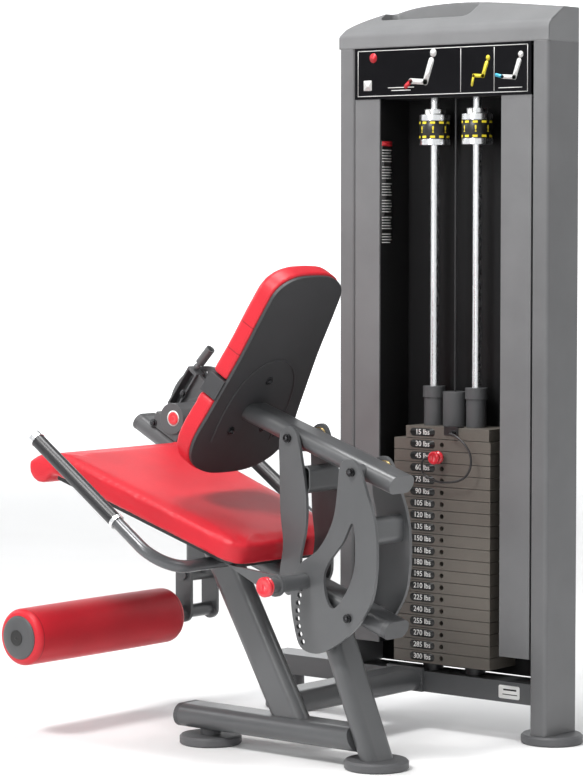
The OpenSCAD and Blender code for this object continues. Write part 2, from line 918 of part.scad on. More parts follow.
module tower_base() {
    x0 = base_near - base_d;
    y1 = tower_rear - col_w;
    color(grey) difference() {
        box(x0, base_near, base_front, y1, base_z, base_z + base_h);
        box(x0 + tube_wall, base_near - tube_wall, base_front - 1, y1 - tube_wall, base_z + tube_wall,
            base_z + base_h - tube_wall);
    }
    color(dark) box(x0 + tube_wall, base_near - tube_wall, base_front, base_front + 6,
        base_z + tube_wall, base_z + base_h - tube_wall);
}

// outline of a column: x depth and y width, with rounded near corners
module column_outline(y0, inset) {
    r = 9 - inset;
    x0 = -tower_x - tower_d + inset;
    x1 = -tower_x - inset;
    translate([x0, y0 + inset]) square([x1 - r - x0, col_w - 2 * inset]);
    translate([x1 - r, y0 + inset + r]) square([r, col_w - 2 * inset - 2 * r]);
    for (y = [y0 + inset + r, y0 + col_w - inset - r]) translate([x1 - r, y]) circle(r = r);
}

module column(y0, z0, z1) {
    difference() {
        translate([0, 0, z0]) linear_extrude(z1 - z0) column_outline(y0, 0);
        translate([0, 0, z0 - 1]) linear_extrude(z1 - z0 + 2) column_outline(y0, tube_wall);
    }
}

module tower_columns() {
    color(grey) difference() {
        union() {
            column(tower_front, base_z + base_h, tower_h);
            column(tower_rear - col_w, foot_h, tower_h);
        }
        translate([stack_x, 0, drum_z]) rotate([90, 0, 0]) cylinder(r = 9, h = far);
    }
}

// the flat facings beside the opening, each with a return along the opening
module tower_panels() {
    x1 = -tower_x - panel_in;
    color(grey) for (side = [0, 1]) {
        y0 = side ? opening_rear : tower_front + col_w;
        y1 = side ? tower_rear - col_w : opening_front;
        lip = side ? opening_rear : opening_front - panel_t;
        box(x1 - panel_t, x1, y0 + (side ? 0 : groove), y1 - (side ? groove : 0), panel_z0, placard_z0);
        box(-tower_x - tower_d + panel_t + 1, x1 - panel_t + eps, lip, lip + panel_t, panel_z0, placard_z0);
    }
}

module tower_back() {
    color(black) box(-tower_x - tower_d, -tower_x - tower_d + panel_t, tower_front + col_w,
        tower_rear - col_w, base_z + base_h, tower_h);
}

// top of the cap across its depth, and its crown from front to rear
module tower_cap() {
    r = 26;
    x0 = -tower_x - tower_d;
    side = [[x0, tower_h], [-tower_x, tower_h], [-tower_x, tower_h + cap_edge - 6]];
    edge = arc([-tower_x - r, tower_h + cap_edge - 6], r, 0, 62, 6);
    color(light) difference() {
        intersection() {
            translate([0, tower_rear, 0]) rotate([90, 0, 0]) linear_extrude(tower_w)
                polygon(concat(side, edge, [[x0, tower_h + cap_edge + cap_rise]]));
            plate_yz(x0, tower_d) polygon(concat([[tower_rear, tower_h], [tower_rear, tower_h + 62]],
                spline_open([[tower_rear, tower_h + 72], [stack_y + 60, tower_h + 92],
                    [stack_y - 60, tower_h + 94], [tower_front + 110, tower_h + 84],
                    [tower_front + 34, tower_h + 58], [tower_front, tower_h + 26]]),
                [[tower_front, tower_h]]));
        }
        box(x0 + cap_wall, -tower_x - cap_wall, tower_front + cap_wall, tower_rear - cap_wall,
            tower_h - 1, tower_h + 12);
        translate([0, 0, tower_h + tray_floor]) linear_extrude(far) tray_outline(x0 + 14);
    }
}

// rounded outline of the tray in the cap, from x0 towards the near face
module tray_outline(x0) {
    r = 16;
    x1 = x0 + tray_d;
    translate([x0 + r, tray_front]) square([tray_d - 2 * r, tray_w]);
    translate([x0, tray_front + r]) square([tray_d, tray_w - 2 * r]);
    for (x = [x0 + r, x1 - r], y = [tray_front + r, tray_front + tray_w - r])
        translate([x, y]) circle(r = r);
}

// smooth open curve through the points p
function spline_open(p) = concat([for (i = [0 : len(p) - 2])
    let (a = p[max(i - 1, 0)], b = p[i], c = p[i + 1], d = p[min(i + 2, len(p) - 1)])
    for (k = [0 : smooth - 1])
        let (t = k / smooth)
        0.5 * (2 * b + (c - a) * t + (2 * a - 5 * b + 4 * c - d) * t * t
            + (3 * b - a - 3 * c + d) * t * t * t)], [p[len(p) - 1]]);

module placard() {
    color(black) box(-tower_x - placard_t, -tower_x, tower_front + col_w + groove,
        tower_rear - col_w - groove, placard_z0, tower_h);
}

module pulley_axle(at, x0, x1) {
    cross_rod(at, axle_r, x0, x1);
}

module rod_bracket() {
    x0 = -tower_x - tower_d + panel_t;
    x1 = -tower_x - placard_t - 1;
    color(dark) difference() {
        union() {
            box(x0, x1 - 10, tower_front + col_w, tower_rear - col_w, bracket_z, bracket_z + 6);
            for (x = [stack_x - 22, stack_x + 18])
                box(x, x + 4, top_front[0] - 26, top_mid[0] + 26, bracket_z + 5, top_z + 18);
            pulley_axle(top_mid, stack_x - 20, stack_x + 20);
            pulley_axle(top_front, stack_x - 20, stack_x + 20);
            for (x = [stack_x - 22, stack_x + 18])
                box(x, x + 4, tower_front + col_w, low_front[0] + 14, low_front[1] - 14, low_front[1] + 14);
            pulley_axle(low_front, stack_x - 20, stack_x + 20);
        }
        for (y = [stack_y, run_y])
            translate([stack_x, y, bracket_z - 1]) cylinder(r = 9, h = 9);
        for (s = [-1, 1])
            translate([stack_x, stack_y + s * rod_gap / 2, bracket_z - 1]) cylinder(d = rod_d, h = far);
    }
}

module guide_rods() {
    color(steel) for (s = [-1, 1])
        translate([stack_x, stack_y + s * rod_gap / 2, base_z + base_h])
            cylinder(d = rod_d, h = bracket_z + 6 - base_z - base_h);
}

module stack_bumpers() {
    color(black) for (s = [-1, 1])
        translate([stack_x, stack_y + s * rod_gap / 2, base_z + base_h]) difference() {
            cylinder(r = bumper_r, h = bumper_h);
            translate([0, 0, -1]) cylinder(d = rod_d, h = bumper_h + 2);
        }
}

// weight plate number i, counted down from the head plate
module weight_plate(i) {
    z = head_z - i * plate_pitch;
    difference() {
        translate([stack_x - plate_d / 2, stack_y - plate_w / 2, z])
            cube([plate_d, plate_w, plate_pitch - plate_gap]);
        for (s = [-1, 1])
            translate([stack_x, stack_y + s * rod_gap / 2, z - 1])
                cylinder(d = rod_d + 2 * loose, h = plate_pitch + 2);
        translate([stack_x, stack_y, z - 1]) cylinder(r = stem_r + loose, h = plate_pitch + 2);
        translate([stack_x, stack_y, z + plate_pitch / 2])
            rotate([0, 90, 0]) cylinder(r = sel_r + 0.5, h = far);
    }
}

module weight_plates() {
    color(iron) for (i = [lifted_count + 1 : plate_count]) weight_plate(i);
}

module lifted_plates() {
    color(iron) for (i = [1 : lifted_count]) weight_plate(i);
}

module head_plate() {
    color(iron) difference() {
        translate([stack_x - plate_d / 2, stack_y + head_shift - head_w / 2, head_z])
            cube([plate_d, head_w, plate_pitch]);
        for (s = [-1, 1])
            translate([stack_x, stack_y + s * rod_gap / 2, head_z - 1])
                cylinder(d = rod_d + 2 * loose, h = plate_pitch + 2);
        translate([stack_x, stack_y, head_z - 1]) cylinder(r = stem_r, h = plate_pitch + 2);
    }
}

module selector_stem() {
    z0 = stack_z0 + 4;
    color(steel) difference() {
        translate([stack_x, stack_y, z0]) cylinder(r = stem_r, h = head_z + plate_pitch - z0);
        translate([stack_x, stack_y, head_z - bore_deep]) cylinder(r = bore_r, h = far);
        for (i = [1 : plate_count])
            translate([stack_x, stack_y, head_z - (i - 0.5) * plate_pitch])
                rotate([0, 90, 0]) cylinder(r = sel_r + run, h = far);
    }
}

module guide_sleeves() {
    z = head_z + plate_pitch;
    color(dark) for (s = [-1, 1])
        translate([stack_x, stack_y + s * rod_gap / 2, z]) difference() {
            union() {
                cylinder(r = sleeve_r, h = sleeve_h);
                translate([0, 0, sleeve_h - collar_h]) cylinder(r = collar_r, h = collar_h);
            }
            translate([0, 0, -1]) cylinder(d = rod_d + 2 * run, h = sleeve_h + 2);
        }
}

module cable_anchor() {
    z = head_z + plate_pitch;
    color(dark) translate([stack_x, stack_y, z]) difference() {
        cylinder(r = anchor_r, h = anchor_h);
        translate([0, 0, -1]) cylinder(r = bore_r, h = anchor_h + 2);
    }
}

module lanyard_bracket() {
    z = head_z + plate_pitch;
    color(black) {
        box(stack_x + anchor_r + 1, plate_near + 2, stack_y + 8, stack_y + 44, z, z + 3);
        box(plate_near, plate_near + 3, stack_y + 8, stack_y + 44, z - 16, z + 3);
        translate([plate_near + 3, stack_y + 36, z - 9]) rotate([0, 90, 0]) cylinder(r = 4, h = 16);
    }
}

// rings of points round the lanyard's route, joined into one closed tube
function cord_tangent(i) = unit(cord_route[min(i + 1, len(cord_route) - 1)] - cord_route[max(i - 1, 0)]);

module pin_lanyard() {
    n = len(cord_route);
    pts = [for (i = [0 : n - 1])
        let (t = cord_tangent(i), u = unit(cross(t, [1, 0, 0])), v = cross(t, u))
        for (k = [0 : cord_sides - 1])
            cord_route[i] + cord_r * (cos(360 * k / cord_sides) * u + sin(360 * k / cord_sides) * v)];
    sides = [for (i = [0 : n - 2]) for (k = [0 : cord_sides - 1])
        let (m = (k + 1) % cord_sides)
        [i * cord_sides + k, i * cord_sides + m, (i + 1) * cord_sides + m, (i + 1) * cord_sides + k]];
    color(black) polyhedron(pts, concat([[for (k = [cord_sides - 1 : -1 : 0]) k]], sides,
        [[for (k = [0 : cord_sides - 1]) (n - 1) * cord_sides + k]]));
}

module selector_pin() {
    x0 = stack_x + bore_r + 1;
    color(red) {
        translate([x0, stack_y, sel_z]) rotate([0, 90, 0]) cylinder(r = sel_r, h = plate_near + 8 - x0);
        translate([plate_near + 2, stack_y, sel_z]) rotate([0, 90, 0]) cylinder(r = 9, h = 9);
        translate([plate_near + 10, stack_y, sel_z]) rotate([0, 90, 0]) cylinder(r = 14, h = 22);
    }
}

module addon_weight(y) {
    color(steel) translate([stack_x, y, addon_z0]) rotate_extrude() difference() {
        polygon([[0, 0], [addon_r, 0], [addon_r, 12], [addon_r - 1, 12], [addon_r - 1, 52],
            [addon_r, 52], [addon_r, 64], [addon_r - 10, 66], [addon_r - 10, addon_h], [0, addon_h]]);
        square([rod_d / 2 + run, addon_h]);
    }
}

module addon_weight_front() {
    addon_weight(stack_y - rod_gap / 2);
}

module addon_weight_rear() {
    addon_weight(stack_y + rod_gap / 2);
}

module pulley(at, r) {
    color(black) translate([stack_x, at[0], at[1]]) rotate([0, 90, 0]) rotate_extrude() difference() {
        translate([axle_r + run, -pulley_w / 2]) square([r + flange - axle_r - run, pulley_w]);
        translate([r, 0]) circle(r = cable_r + soft_gap);
        translate([r, -cable_r - soft_gap]) square([2 * flange, 2 * (cable_r + soft_gap)]);
    }
}

module top_pulley_mid() {
    pulley(top_mid, top_r);
}

module top_pulley_front() {
    pulley(top_front, top_r);
}

module low_pulley() {
    pulley(low_front, low_r);
}

// a bend of the cable about the point at, between two angles
module cable_bend(at, r, a0, a1) {
    translate([stack_x, at[0], at[1]])
        rotate([90, 0, 90]) rotate([0, 0, a0])
            rotate_extrude(angle = a1 - a0) translate([r, 0]) circle(r = cable_r - 2 * eps);
}

module cable_run(a, b) {
    d = b - a;
    translate([stack_x, a[0], a[1]])
        rotate([atan2(d[1], d[0]) - 90, 0, 0]) cylinder(r = cable_r, h = norm(d));
}

module drive_cable() {
    color(black) {
        cable_run([stack_y, cable_end], [stack_y, top_z]);
        cable_bend(top_mid, top_r, 0, 90);
        cable_run(top_mid + [0, top_r], top_front + [0, top_r]);
        cable_bend(top_front, top_r, 90, 180);
        cable_run([run_y, top_z], [run_y, low_front[1]]);
        cable_bend(low_front, low_r, -90, 0);
        cable_run(low_front - [0, low_r], knee - [0, drum_r]);
        cable_bend(knee, drum_r, -200, -90);
    }
}

feet();
floor_tube();
front_post();
rear_post();
tie_tube();
main_tube();
frame_end_caps();
knee_tube();
knee_bracket();
knee_bushes();
seat_board();
seat_pad();
handle_tubes();
handle_grips();
handle_ends();
pin_bracket();
lower_pins();
tower_base();
tower_columns();
tower_panels();
tower_back();
tower_cap();
placard();
rod_bracket();
guide_rods();
stack_bumpers();
weight_plates();
drive_cable();
head_plate();
lifted_plates();
selector_stem();
guide_sleeves();
cable_anchor();
lanyard_bracket();
pin_lanyard();
selector_pin();
addon_weight_front();
addon_weight_rear();
top_pulley_mid();
top_pulley_front();
low_pulley();
knee_shaft();
start_disc();
cable_drum();
movement_arm();
start_lever();
pull_grip();
shin_lever();
roller_pad();
roller_caps();
front_link();
rear_link();
carriage_tube();
upper_pins();
pivot_washers();
back_shell();
back_pad();
adjuster_pin();
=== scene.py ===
import math

import bpy
import numpy as np
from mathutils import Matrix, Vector


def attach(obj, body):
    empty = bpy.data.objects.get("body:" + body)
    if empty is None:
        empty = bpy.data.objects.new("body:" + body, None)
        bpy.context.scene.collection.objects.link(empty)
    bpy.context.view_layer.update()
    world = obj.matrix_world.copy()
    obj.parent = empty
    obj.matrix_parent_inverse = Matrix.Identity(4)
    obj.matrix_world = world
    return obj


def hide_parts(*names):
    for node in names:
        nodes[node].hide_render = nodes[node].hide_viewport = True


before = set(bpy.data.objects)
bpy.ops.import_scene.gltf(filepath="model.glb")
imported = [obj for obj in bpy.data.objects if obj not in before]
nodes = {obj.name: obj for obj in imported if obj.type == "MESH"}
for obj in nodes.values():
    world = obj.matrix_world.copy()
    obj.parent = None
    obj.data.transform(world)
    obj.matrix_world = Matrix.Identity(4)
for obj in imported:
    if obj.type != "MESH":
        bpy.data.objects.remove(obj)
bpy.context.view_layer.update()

scene = bpy.context.scene
mm = 0.001


# camera, floor and light

view = {
    "place": (4.4893, 3.5166, 1.100),
    "along": (-0.7672, -0.6386, -0.05962),
    "lens": 134.0,
}
camData = bpy.data.cameras.new("camera")
camData.lens = view["lens"]
camData.sensor_width = 36.0
camera = bpy.data.objects.new("camera", camData)
scene.collection.objects.link(camera)
camera.location = view["place"]
camera.rotation_mode = "QUATERNION"
camera.rotation_quaternion = Vector(view["along"]).to_track_quat("-Z", "Y")
scene.camera = camera


# a disk lamp at a place, turned so that its beam runs from there to the target
def addLight(name, place, target, size, power, tint):
    data = bpy.data.lights.new(name, "AREA")
    data.shape = "DISK"
    data.size = size
    data.energy = power
    data.color = tint
    lamp = bpy.data.objects.new(name, data)
    scene.collection.objects.link(lamp)
    lamp.location = place
    lamp.rotation_mode = "QUATERNION"
    lamp.rotation_quaternion = (Vector(target) - Vector(place)).to_track_quat("-Z", "Y")


lights = [
    ("keyLight", (2.9, -0.3, 4.0), (-0.1, -0.2, 0.5), 1.1, 165, (1.0, 0.99, 0.98)),
    ("frontLight", (4.2, -0.2, 1.9), (-0.3, -0.2, 0.9), 1.0, 30, (1.0, 1.0, 1.0)),
    ("fillLight", (1.4, -3.8, 2.8), (-0.2, -0.3, 0.6), 1.6, 30, (0.97, 0.98, 1.0)),
    ("rimLight", (-1.6, 3.0, 3.2), (-0.2, 0.0, 0.9), 0.9, 16, (1.0, 1.0, 1.0)),
    ("topLight", (0.0, -0.4, 4.4), (-0.1, -0.3, 0.5), 1.4, 110, (1.0, 1.0, 1.0)),
]
for light in lights:
    addLight(*light)

world = bpy.data.worlds.new("studio")
scene.world = world
world.use_nodes = True
world.node_tree.nodes["Background"].inputs["Color"].default_value = (0.95, 0.96, 0.97, 1)
world.node_tree.nodes["Background"].inputs["Strength"].default_value = 0.26
print("camera and light", flush=True)


# materials

# a node with its inputs filled in: a socket is linked, a number or a colour is set
def addNode(tree, kind, inputs=None, **settings):
    node = tree.nodes.new(kind)
    for key, value in settings.items():
        setattr(node, key, value)
    for key, value in (inputs or {}).items():
        if isinstance(value, bpy.types.NodeSocket):
            tree.links.new(value, node.inputs[key])
        else:
            node.inputs[key].default_value = value
    return node


# one sum on two values, such as a + b
def calc(tree, operation, a, b=0.0):
    return addNode(tree, "ShaderNodeMath", {0: a, 1: b}, operation=operation).outputs[0]


# straight-line map: low becomes toLow, high becomes toHigh, and nothing goes past them
def spread(tree, value, low, high, toLow, toHigh):
    node = addNode(tree, "ShaderNodeMapRange", {"Value": value, "From Min": low,
        "From Max": high, "To Min": toLow, "To Max": toHigh})
    return node.outputs[0]


# (1 - share) first + share second
def mixColour(tree, share, first, second):
    node = addNode(tree, "ShaderNodeMix", data_type="RGBA")
    for socket, value in ((node.inputs[0], share), (node.inputs[6], first), (node.inputs[7], second)):
        if isinstance(value, bpy.types.NodeSocket):
            tree.links.new(value, socket)
        else:
            socket.default_value = value
    return node.outputs[2]


# a colour times a factor, at most 1, and opaque
def shade(colour, by):
    return tuple(min(1.0, c * by) for c in colour) + (1.0,)


# the place on the piece, in metres
def objectPoint(tree):
    return addNode(tree, "ShaderNodeTexCoord").outputs["Object"]


# clouds of about a given size in metres: noise at point / size
def noiseAt(tree, point, size, detail=3.0):
    place = addNode(tree, "ShaderNodeMapping", {"Vector": point, "Scale": (1 / size, 1 / size, 1 / size)})
    return addNode(tree, "ShaderNodeTexNoise", {"Vector": place.outputs[0], "Scale": 1.0,
        "Detail": detail, "Roughness": 0.55}).outputs[0]


# a powder coat, plastic, metal or rubber: clouded colour, fine grain in the surface
# and the roughness, and edges that are rounded and painted lighter, partly real wear and
# partly a painted highlight: the lightening grows with the turn between the face's own
# normal and the rounded one
def finish(name, look):
    mat = bpy.data.materials.new(name)
    mat.use_nodes = True
    tree = mat.node_tree
    shader = tree.nodes["Principled BSDF"]
    point = objectPoint(tree)
    cloud = noiseAt(tree, point, look.get("cloud", 0.12), 4.0)
    stretch = look.get("stretch")
    if stretch:
        point = addNode(tree, "ShaderNodeMapping", {"Vector": point, "Scale": stretch}).outputs[0]
    grain = noiseAt(tree, point, look["grain"], look.get("detail", 3.0))
    vary = look.get("vary", 0.12)
    colour = mixColour(tree, spread(tree, cloud, 0.3, 0.7, 0.0, 1.0),
        shade(look["base"], 1 - vary), shade(look["base"], 1 + vary))
    colour = mixColour(tree, spread(tree, grain, 0.35, 0.7, 0.0, look.get("fleck", 0.15)),
        colour, shade(look["base"], look.get("fleckBy", 1.5)))
    soft = addNode(tree, "ShaderNodeBevel", {"Radius": look.get("edge", 1.2) * mm}, samples=4)
    flat = addNode(tree, "ShaderNodeNewGeometry").outputs["True Normal"]
    wide = addNode(tree, "ShaderNodeBevel", {"Radius": 2.2 * look.get("edge", 1.2) * mm}, samples=4)
    bend = addNode(tree, "ShaderNodeVectorMath", {0: wide.outputs[0], 1: flat}, operation="DOT_PRODUCT")
    # painted highlight and wear: edges are painted lighter where the rounded normal turns away from the
    # face's own
    wornAndLitEdge = spread(tree, bend.outputs["Value"], 0.97, 0.8, 0.0, look.get("edgeWearAndHighlight", 0.25))
    colour = mixColour(tree, calc(tree, "MULTIPLY", wornAndLitEdge, grain), colour, shade(look["base"], 2.2))
    # painted shade: faces of the piece behind the given x, inside the tower, are painted near black for the
    # shade there
    if "paintedShadePast" in look:
        across = addNode(tree, "ShaderNodeSeparateXYZ", {"Vector": objectPoint(tree)}).outputs[0]
        past = calc(tree, "LESS_THAN", across, look["paintedShadePast"])
        colour = mixColour(tree, past, colour, shade(look["base"], 0.03))
    tree.links.new(colour, shader.inputs["Base Color"])
    tree.links.new(spread(tree, grain, 0.3, 0.7, look["rough"] - look.get("roughVary", 0.05),
        look["rough"] + look.get("roughVary", 0.05)), shader.inputs["Roughness"])
    bump = addNode(tree, "ShaderNodeBump", {"Height": grain, "Normal": soft.outputs[0],
        "Distance": look.get("depth", 0.08) * mm, "Strength": look.get("bump", 0.6)})
    tree.links.new(bump.outputs[0], shader.inputs["Normal"])
    shader.inputs["Metallic"].default_value = look.get("metal", 0.0)
    shader.inputs["Coat Weight"].default_value = look.get("coat", 0.0)
    shader.inputs["Coat Roughness"].default_value = 0.25
    shader.inputs["Specular IOR Level"].default_value = look.get("specular", 0.5)
    return mat


# vinyl over foam: cells of leather grain, soft creases between them, and sewn lines
# where the piece crosses planes square to a direction: height = 0.6 crease + 0.4 fine
# grain, less 3 on a line
def vinyl(name, look, origin=None, along=None, seams=()):
    mat = bpy.data.materials.new(name)
    mat.use_nodes = True
    tree = mat.node_tree
    shader = tree.nodes["Principled BSDF"]
    point = objectPoint(tree)
    cloud = noiseAt(tree, point, 0.16, 3.0)
    place = addNode(tree, "ShaderNodeMapping", {"Vector": point, "Scale": (1 / look["cell"],) * 3})
    warp = noiseAt(tree, point, 3 * look["cell"], 2.0)
    shifted = addNode(tree, "ShaderNodeVectorMath", {0: place.outputs[0], 1: warp}, operation="ADD")
    cells = addNode(tree, "ShaderNodeTexVoronoi", {"Vector": shifted.outputs[0], "Scale": 1.0},
        feature="DISTANCE_TO_EDGE").outputs[0]
    crease = spread(tree, cells, 0.0, 0.25, 0.0, 1.0)
    fine = noiseAt(tree, point, 0.4 * look["cell"], 2.0)
    height = calc(tree, "ADD", calc(tree, "MULTIPLY", crease, 0.6), calc(tree, "MULTIPLY", fine, 0.4))
    colour = mixColour(tree, spread(tree, cloud, 0.3, 0.7, 0.0, 1.0),
        shade(look["base"], 0.88), shade(look["base"], 1.1))
    # painted shade: the creases between the grain cells are painted darker
    colour = mixColour(tree, spread(tree, crease, 0.0, 1.0, 0.35, 0.0), colour, shade(look["base"], 0.55))
    if seams:
        away = addNode(tree, "ShaderNodeVectorMath", {0: point, 1: origin}, operation="SUBTRACT")
        run = addNode(tree, "ShaderNodeVectorMath", {0: away.outputs[0], 1: along},
            operation="DOT_PRODUCT").outputs["Value"]
        for seam in seams:
            gap = calc(tree, "ABSOLUTE", calc(tree, "SUBTRACT", run, seam * mm))
            line = spread(tree, gap, 0.4 * mm, 1.6 * mm, 1.0, 0.0)
            colour = mixColour(tree, calc(tree, "MULTIPLY", line, 0.75), colour, shade(look["base"], 0.25))
            height = calc(tree, "SUBTRACT", height, calc(tree, "MULTIPLY", line, 3.0))
    tree.links.new(colour, shader.inputs["Base Color"])
    tree.links.new(spread(tree, fine, 0.3, 0.7, look["rough"] - 0.06, look["rough"] + 0.06),
        shader.inputs["Roughness"])
    bump = addNode(tree, "ShaderNodeBump", {"Height": height, "Distance": look["depth"] * mm,
        "Strength": 0.5})
    tree.links.new(bump.outputs[0], shader.inputs["Normal"])
    shader.inputs["Coat Weight"].default_value = 0.04
    shader.inputs["Coat Roughness"].default_value = 0.35
    shader.inputs["Specular IOR Level"].default_value = 0.3
    return mat


frameLook = {"base": (0.074, 0.076, 0.079), "grain": 0.0011, "rough": 0.34, "depth": 0.1,
    "bump": 0.45, "vary": 0.08, "fleck": 0.12, "edgeWearAndHighlight": 0.45, "coat": 0.2}
redLook = {"base": (0.56, 0.016, 0.028), "cell": 0.0016, "rough": 0.42, "depth": 0.12}
mats = {
    "frame": finish("frameGrey", frameLook),
    "tower": finish("towerGrey", dict(frameLook, base=(0.118, 0.119, 0.122), rough=0.45, coat=0.0)),
    # tower panels, their faces inside the tower painted near black as painted shade
    "panel": finish("panelGrey", dict(frameLook, base=(0.13, 0.131, 0.134), rough=0.45,
        coat=0.0, paintedShadePast=-0.4125)),
    "cap": finish("capGrey", dict(frameLook, base=(0.155, 0.157, 0.16), rough=0.36,
        grain=0.0006, edge=6.0, edgeWearAndHighlight=0.1)),
    "plastic": finish("capPlastic", {"base": (0.060, 0.061, 0.064), "grain": 0.0006, "rough": 0.5,
        "depth": 0.06, "vary": 0.1, "edge": 2.0}),
    "foot": finish("footRubber", {"base": (0.085, 0.086, 0.09), "grain": 0.0016, "rough": 0.55,
        "depth": 0.12, "vary": 0.15, "edge": 2.0}),
    "shell": finish("shellPlastic", {"base": (0.024, 0.024, 0.026), "grain": 0.0013, "rough": 0.52,
        "depth": 0.3, "bump": 0.9, "vary": 0.12, "fleck": 0.35, "fleckBy": 2.2, "edge": 2.0}),
    "black": finish("blackPaint", {"base": (0.012, 0.012, 0.013), "grain": 0.001, "rough": 0.42,
        "depth": 0.06, "vary": 0.2, "fleck": 0.2, "fleckBy": 2.0}),
    # painted shade: the back of the tower, inside, is made near black for the shade there
    "inside": finish("paintedShadeInside", {"base": (0.0035, 0.0035, 0.004), "grain": 0.0012, "rough": 0.5,
        "depth": 0.05, "vary": 0.2, "fleck": 0.12, "fleckBy": 3.0, "specular": 0.25}),
    "grip": finish("gripRubber", {"base": (0.016, 0.016, 0.018), "grain": 0.0012, "rough": 0.36,
        "depth": 0.15, "bump": 0.7, "vary": 0.15}),
    "chrome": finish("chrome", {"base": (0.93, 0.94, 0.95), "grain": 0.0009, "stretch": (1, 1, 0.05),
        "rough": 0.26, "roughVary": 0.04, "metal": 1.0, "depth": 0.01, "vary": 0.03, "fleck": 0.05}),
    "steel": finish("brushedSteel", {"base": (0.62, 0.63, 0.65), "grain": 0.0006, "stretch": (0.05, 1, 1),
        "rough": 0.3, "roughVary": 0.08, "metal": 1.0, "depth": 0.02, "vary": 0.06}),
    "brass": finish("brass", {"base": (0.78, 0.56, 0.24), "grain": 0.0007, "rough": 0.28,
        "metal": 1.0, "depth": 0.02, "vary": 0.1}),
    "iron": finish("plateIron", {"base": (0.094, 0.084, 0.072), "grain": 0.0012, "rough": 0.5,
        "depth": 0.12, "bump": 0.6, "vary": 0.12, "fleck": 0.3, "fleckBy": 1.7, "edgeWearAndHighlight": 0.35, "edge": 1.0}),
    "cable": finish("cableCover", {"base": (0.014, 0.014, 0.015), "grain": 0.0008, "rough": 0.35,
        "depth": 0.05, "vary": 0.15}),
    "knob": finish("knobRed", {"base": (0.55, 0.012, 0.024), "grain": 0.002, "rough": 0.25,
        "depth": 0.03, "vary": 0.08, "coat": 0.5, "edge": 2.0}),
    "bolt": finish("boltBlack", {"base": (0.03, 0.03, 0.032), "grain": 0.0007, "rough": 0.32,
        "metal": 0.8, "depth": 0.03, "vary": 0.15, "edge": 0.6, "edgeWearAndHighlight": 0.6}),
    "tube": finish("tubeSilver", {"base": (0.085, 0.087, 0.092), "grain": 0.0009, "rough": 0.3,
        "metal": 0.35, "depth": 0.04, "vary": 0.08, "coat": 0.25}),
    "white": finish("printWhite", {"base": (0.8, 0.8, 0.78), "grain": 0.0012, "rough": 0.45,
        "depth": 0.02, "vary": 0.05, "fleck": 0.2, "fleckBy": 0.8}),
    "labelBlack": finish("labelBlack", {"base": (0.006, 0.006, 0.006), "grain": 0.001, "rough": 0.4,
        "depth": 0.02, "vary": 0.2}),
    "yellow": finish("printYellow", {"base": (0.78, 0.62, 0.03), "grain": 0.001, "rough": 0.4,
        "depth": 0.02, "vary": 0.08}),
    "redPrint": finish("printRed", {"base": (0.6, 0.02, 0.03), "grain": 0.001, "rough": 0.4,
        "depth": 0.02, "vary": 0.08}),
    "bluePrint": finish("printBlue", {"base": (0.05, 0.4, 0.6), "grain": 0.001, "rough": 0.4,
        "depth": 0.02, "vary": 0.08}),
    "placard": finish("placardPrint", {"base": (0.006, 0.006, 0.007), "grain": 0.0009, "rough": 0.4,
        "depth": 0.02, "vary": 0.25, "cloud": 0.3, "specular": 0.03}),
    "red": vinyl("redVinyl", redLook),
}

carried = {
    "frame": ["floor_tube", "front_post", "rear_post", "tie_tube", "main_tube", "knee_tube",
        "knee_bracket", "pin_bracket", "start_disc", "start_lever", "movement_arm", "shin_lever",
        "front_link", "rear_link", "carriage_tube", "tower_base", "pull_grip"],
    "tower": ["tower_columns"],
    "panel": ["tower_panels"],
    "cap": ["tower_cap"],
    "plastic": ["frame_end_caps", "roller_caps", "guide_sleeves", "cable_anchor"],
    "foot": ["feet"],
    "black": ["seat_board", "rod_bracket", "lanyard_bracket"],
    "inside": ["tower_back"],
    "shell": ["back_shell"],
    "bolt": ["lower_pins", "upper_pins"],
    "grip": ["handle_grips", "stack_bumpers"],
    "chrome": ["guide_rods", "handle_ends", "addon_weight_front", "addon_weight_rear"],
    "steel": ["selector_stem", "knee_shaft"],
    "brass": ["knee_bushes", "pivot_washers"],
    "iron": ["weight_plates", "head_plate", "lifted_plates"],
    "cable": ["drive_cable", "pin_lanyard", "top_pulley_mid", "top_pulley_front", "low_pulley",
        "cable_drum"],
    "knob": ["selector_pin", "adjuster_pin"],
    "tube": ["handle_tubes"],
    "placard": ["placard"],
    "red": ["seat_pad", "back_pad", "roller_pad"],
}
for look, names in carried.items():
    for name in names:
        nodes[name].data.materials.clear()
        nodes[name].data.materials.append(mats[look])
print("materials", flush=True)


# mesh helpers

# closed surface from rings of points: rings[i, j] is point j of ring i, each ring is
# joined round and to the next, and a middle point closes the first and the last ring
def closeRings(rings):
    rows, cols = rings.shape[:2]
    verts = np.vstack([rings.reshape(-1, 3), rings[0].mean(0), rings[-1].mean(0)])
    i, j = np.meshgrid(np.arange(rows - 1), np.arange(cols), indexing="ij")
    k = (j + 1) % cols
    quads = np.stack([i * cols + j, i * cols + k, (i + 1) * cols + k, (i + 1) * cols + j], -1)
    around = np.arange(cols)
    after = (around + 1) % cols
    first = np.stack([np.full(cols, rows * cols), after, around], -1)
    last = np.stack([np.full(cols, rows * cols + 1), (rows - 1) * cols + around,
        (rows - 1) * cols + after], -1)
    faces = quads.reshape(-1, 4).tolist() + first.tolist() + last.tolist()
    return facingOut(verts, faces)


# turns the faces round if their signed volume, the sum of a.(b x c)/6, is negative
def facingOut(verts, faces):
    total = 0.0
    for size in (3, 4):
        group = np.array([f for f in faces if len(f) == size], int).reshape(-1, size)
        for step in range(1, size - 1):
            a, b, c = verts[group[:, 0]], verts[group[:, step]], verts[group[:, step + 1]]
            total += float((a * np.cross(b, c)).sum())
    if total < 0:
        faces = [f[::-1] for f in faces]
    return verts, faces


# several surfaces as one: the faces of each count on from the points before it
def join(parts):
    verts, faces, base = [], [], 0
    for points, polys in parts:
        verts.append(points)
        faces += [[base + n for n in poly] for poly in polys]
        base += len(points)
    return np.vstack(verts), faces
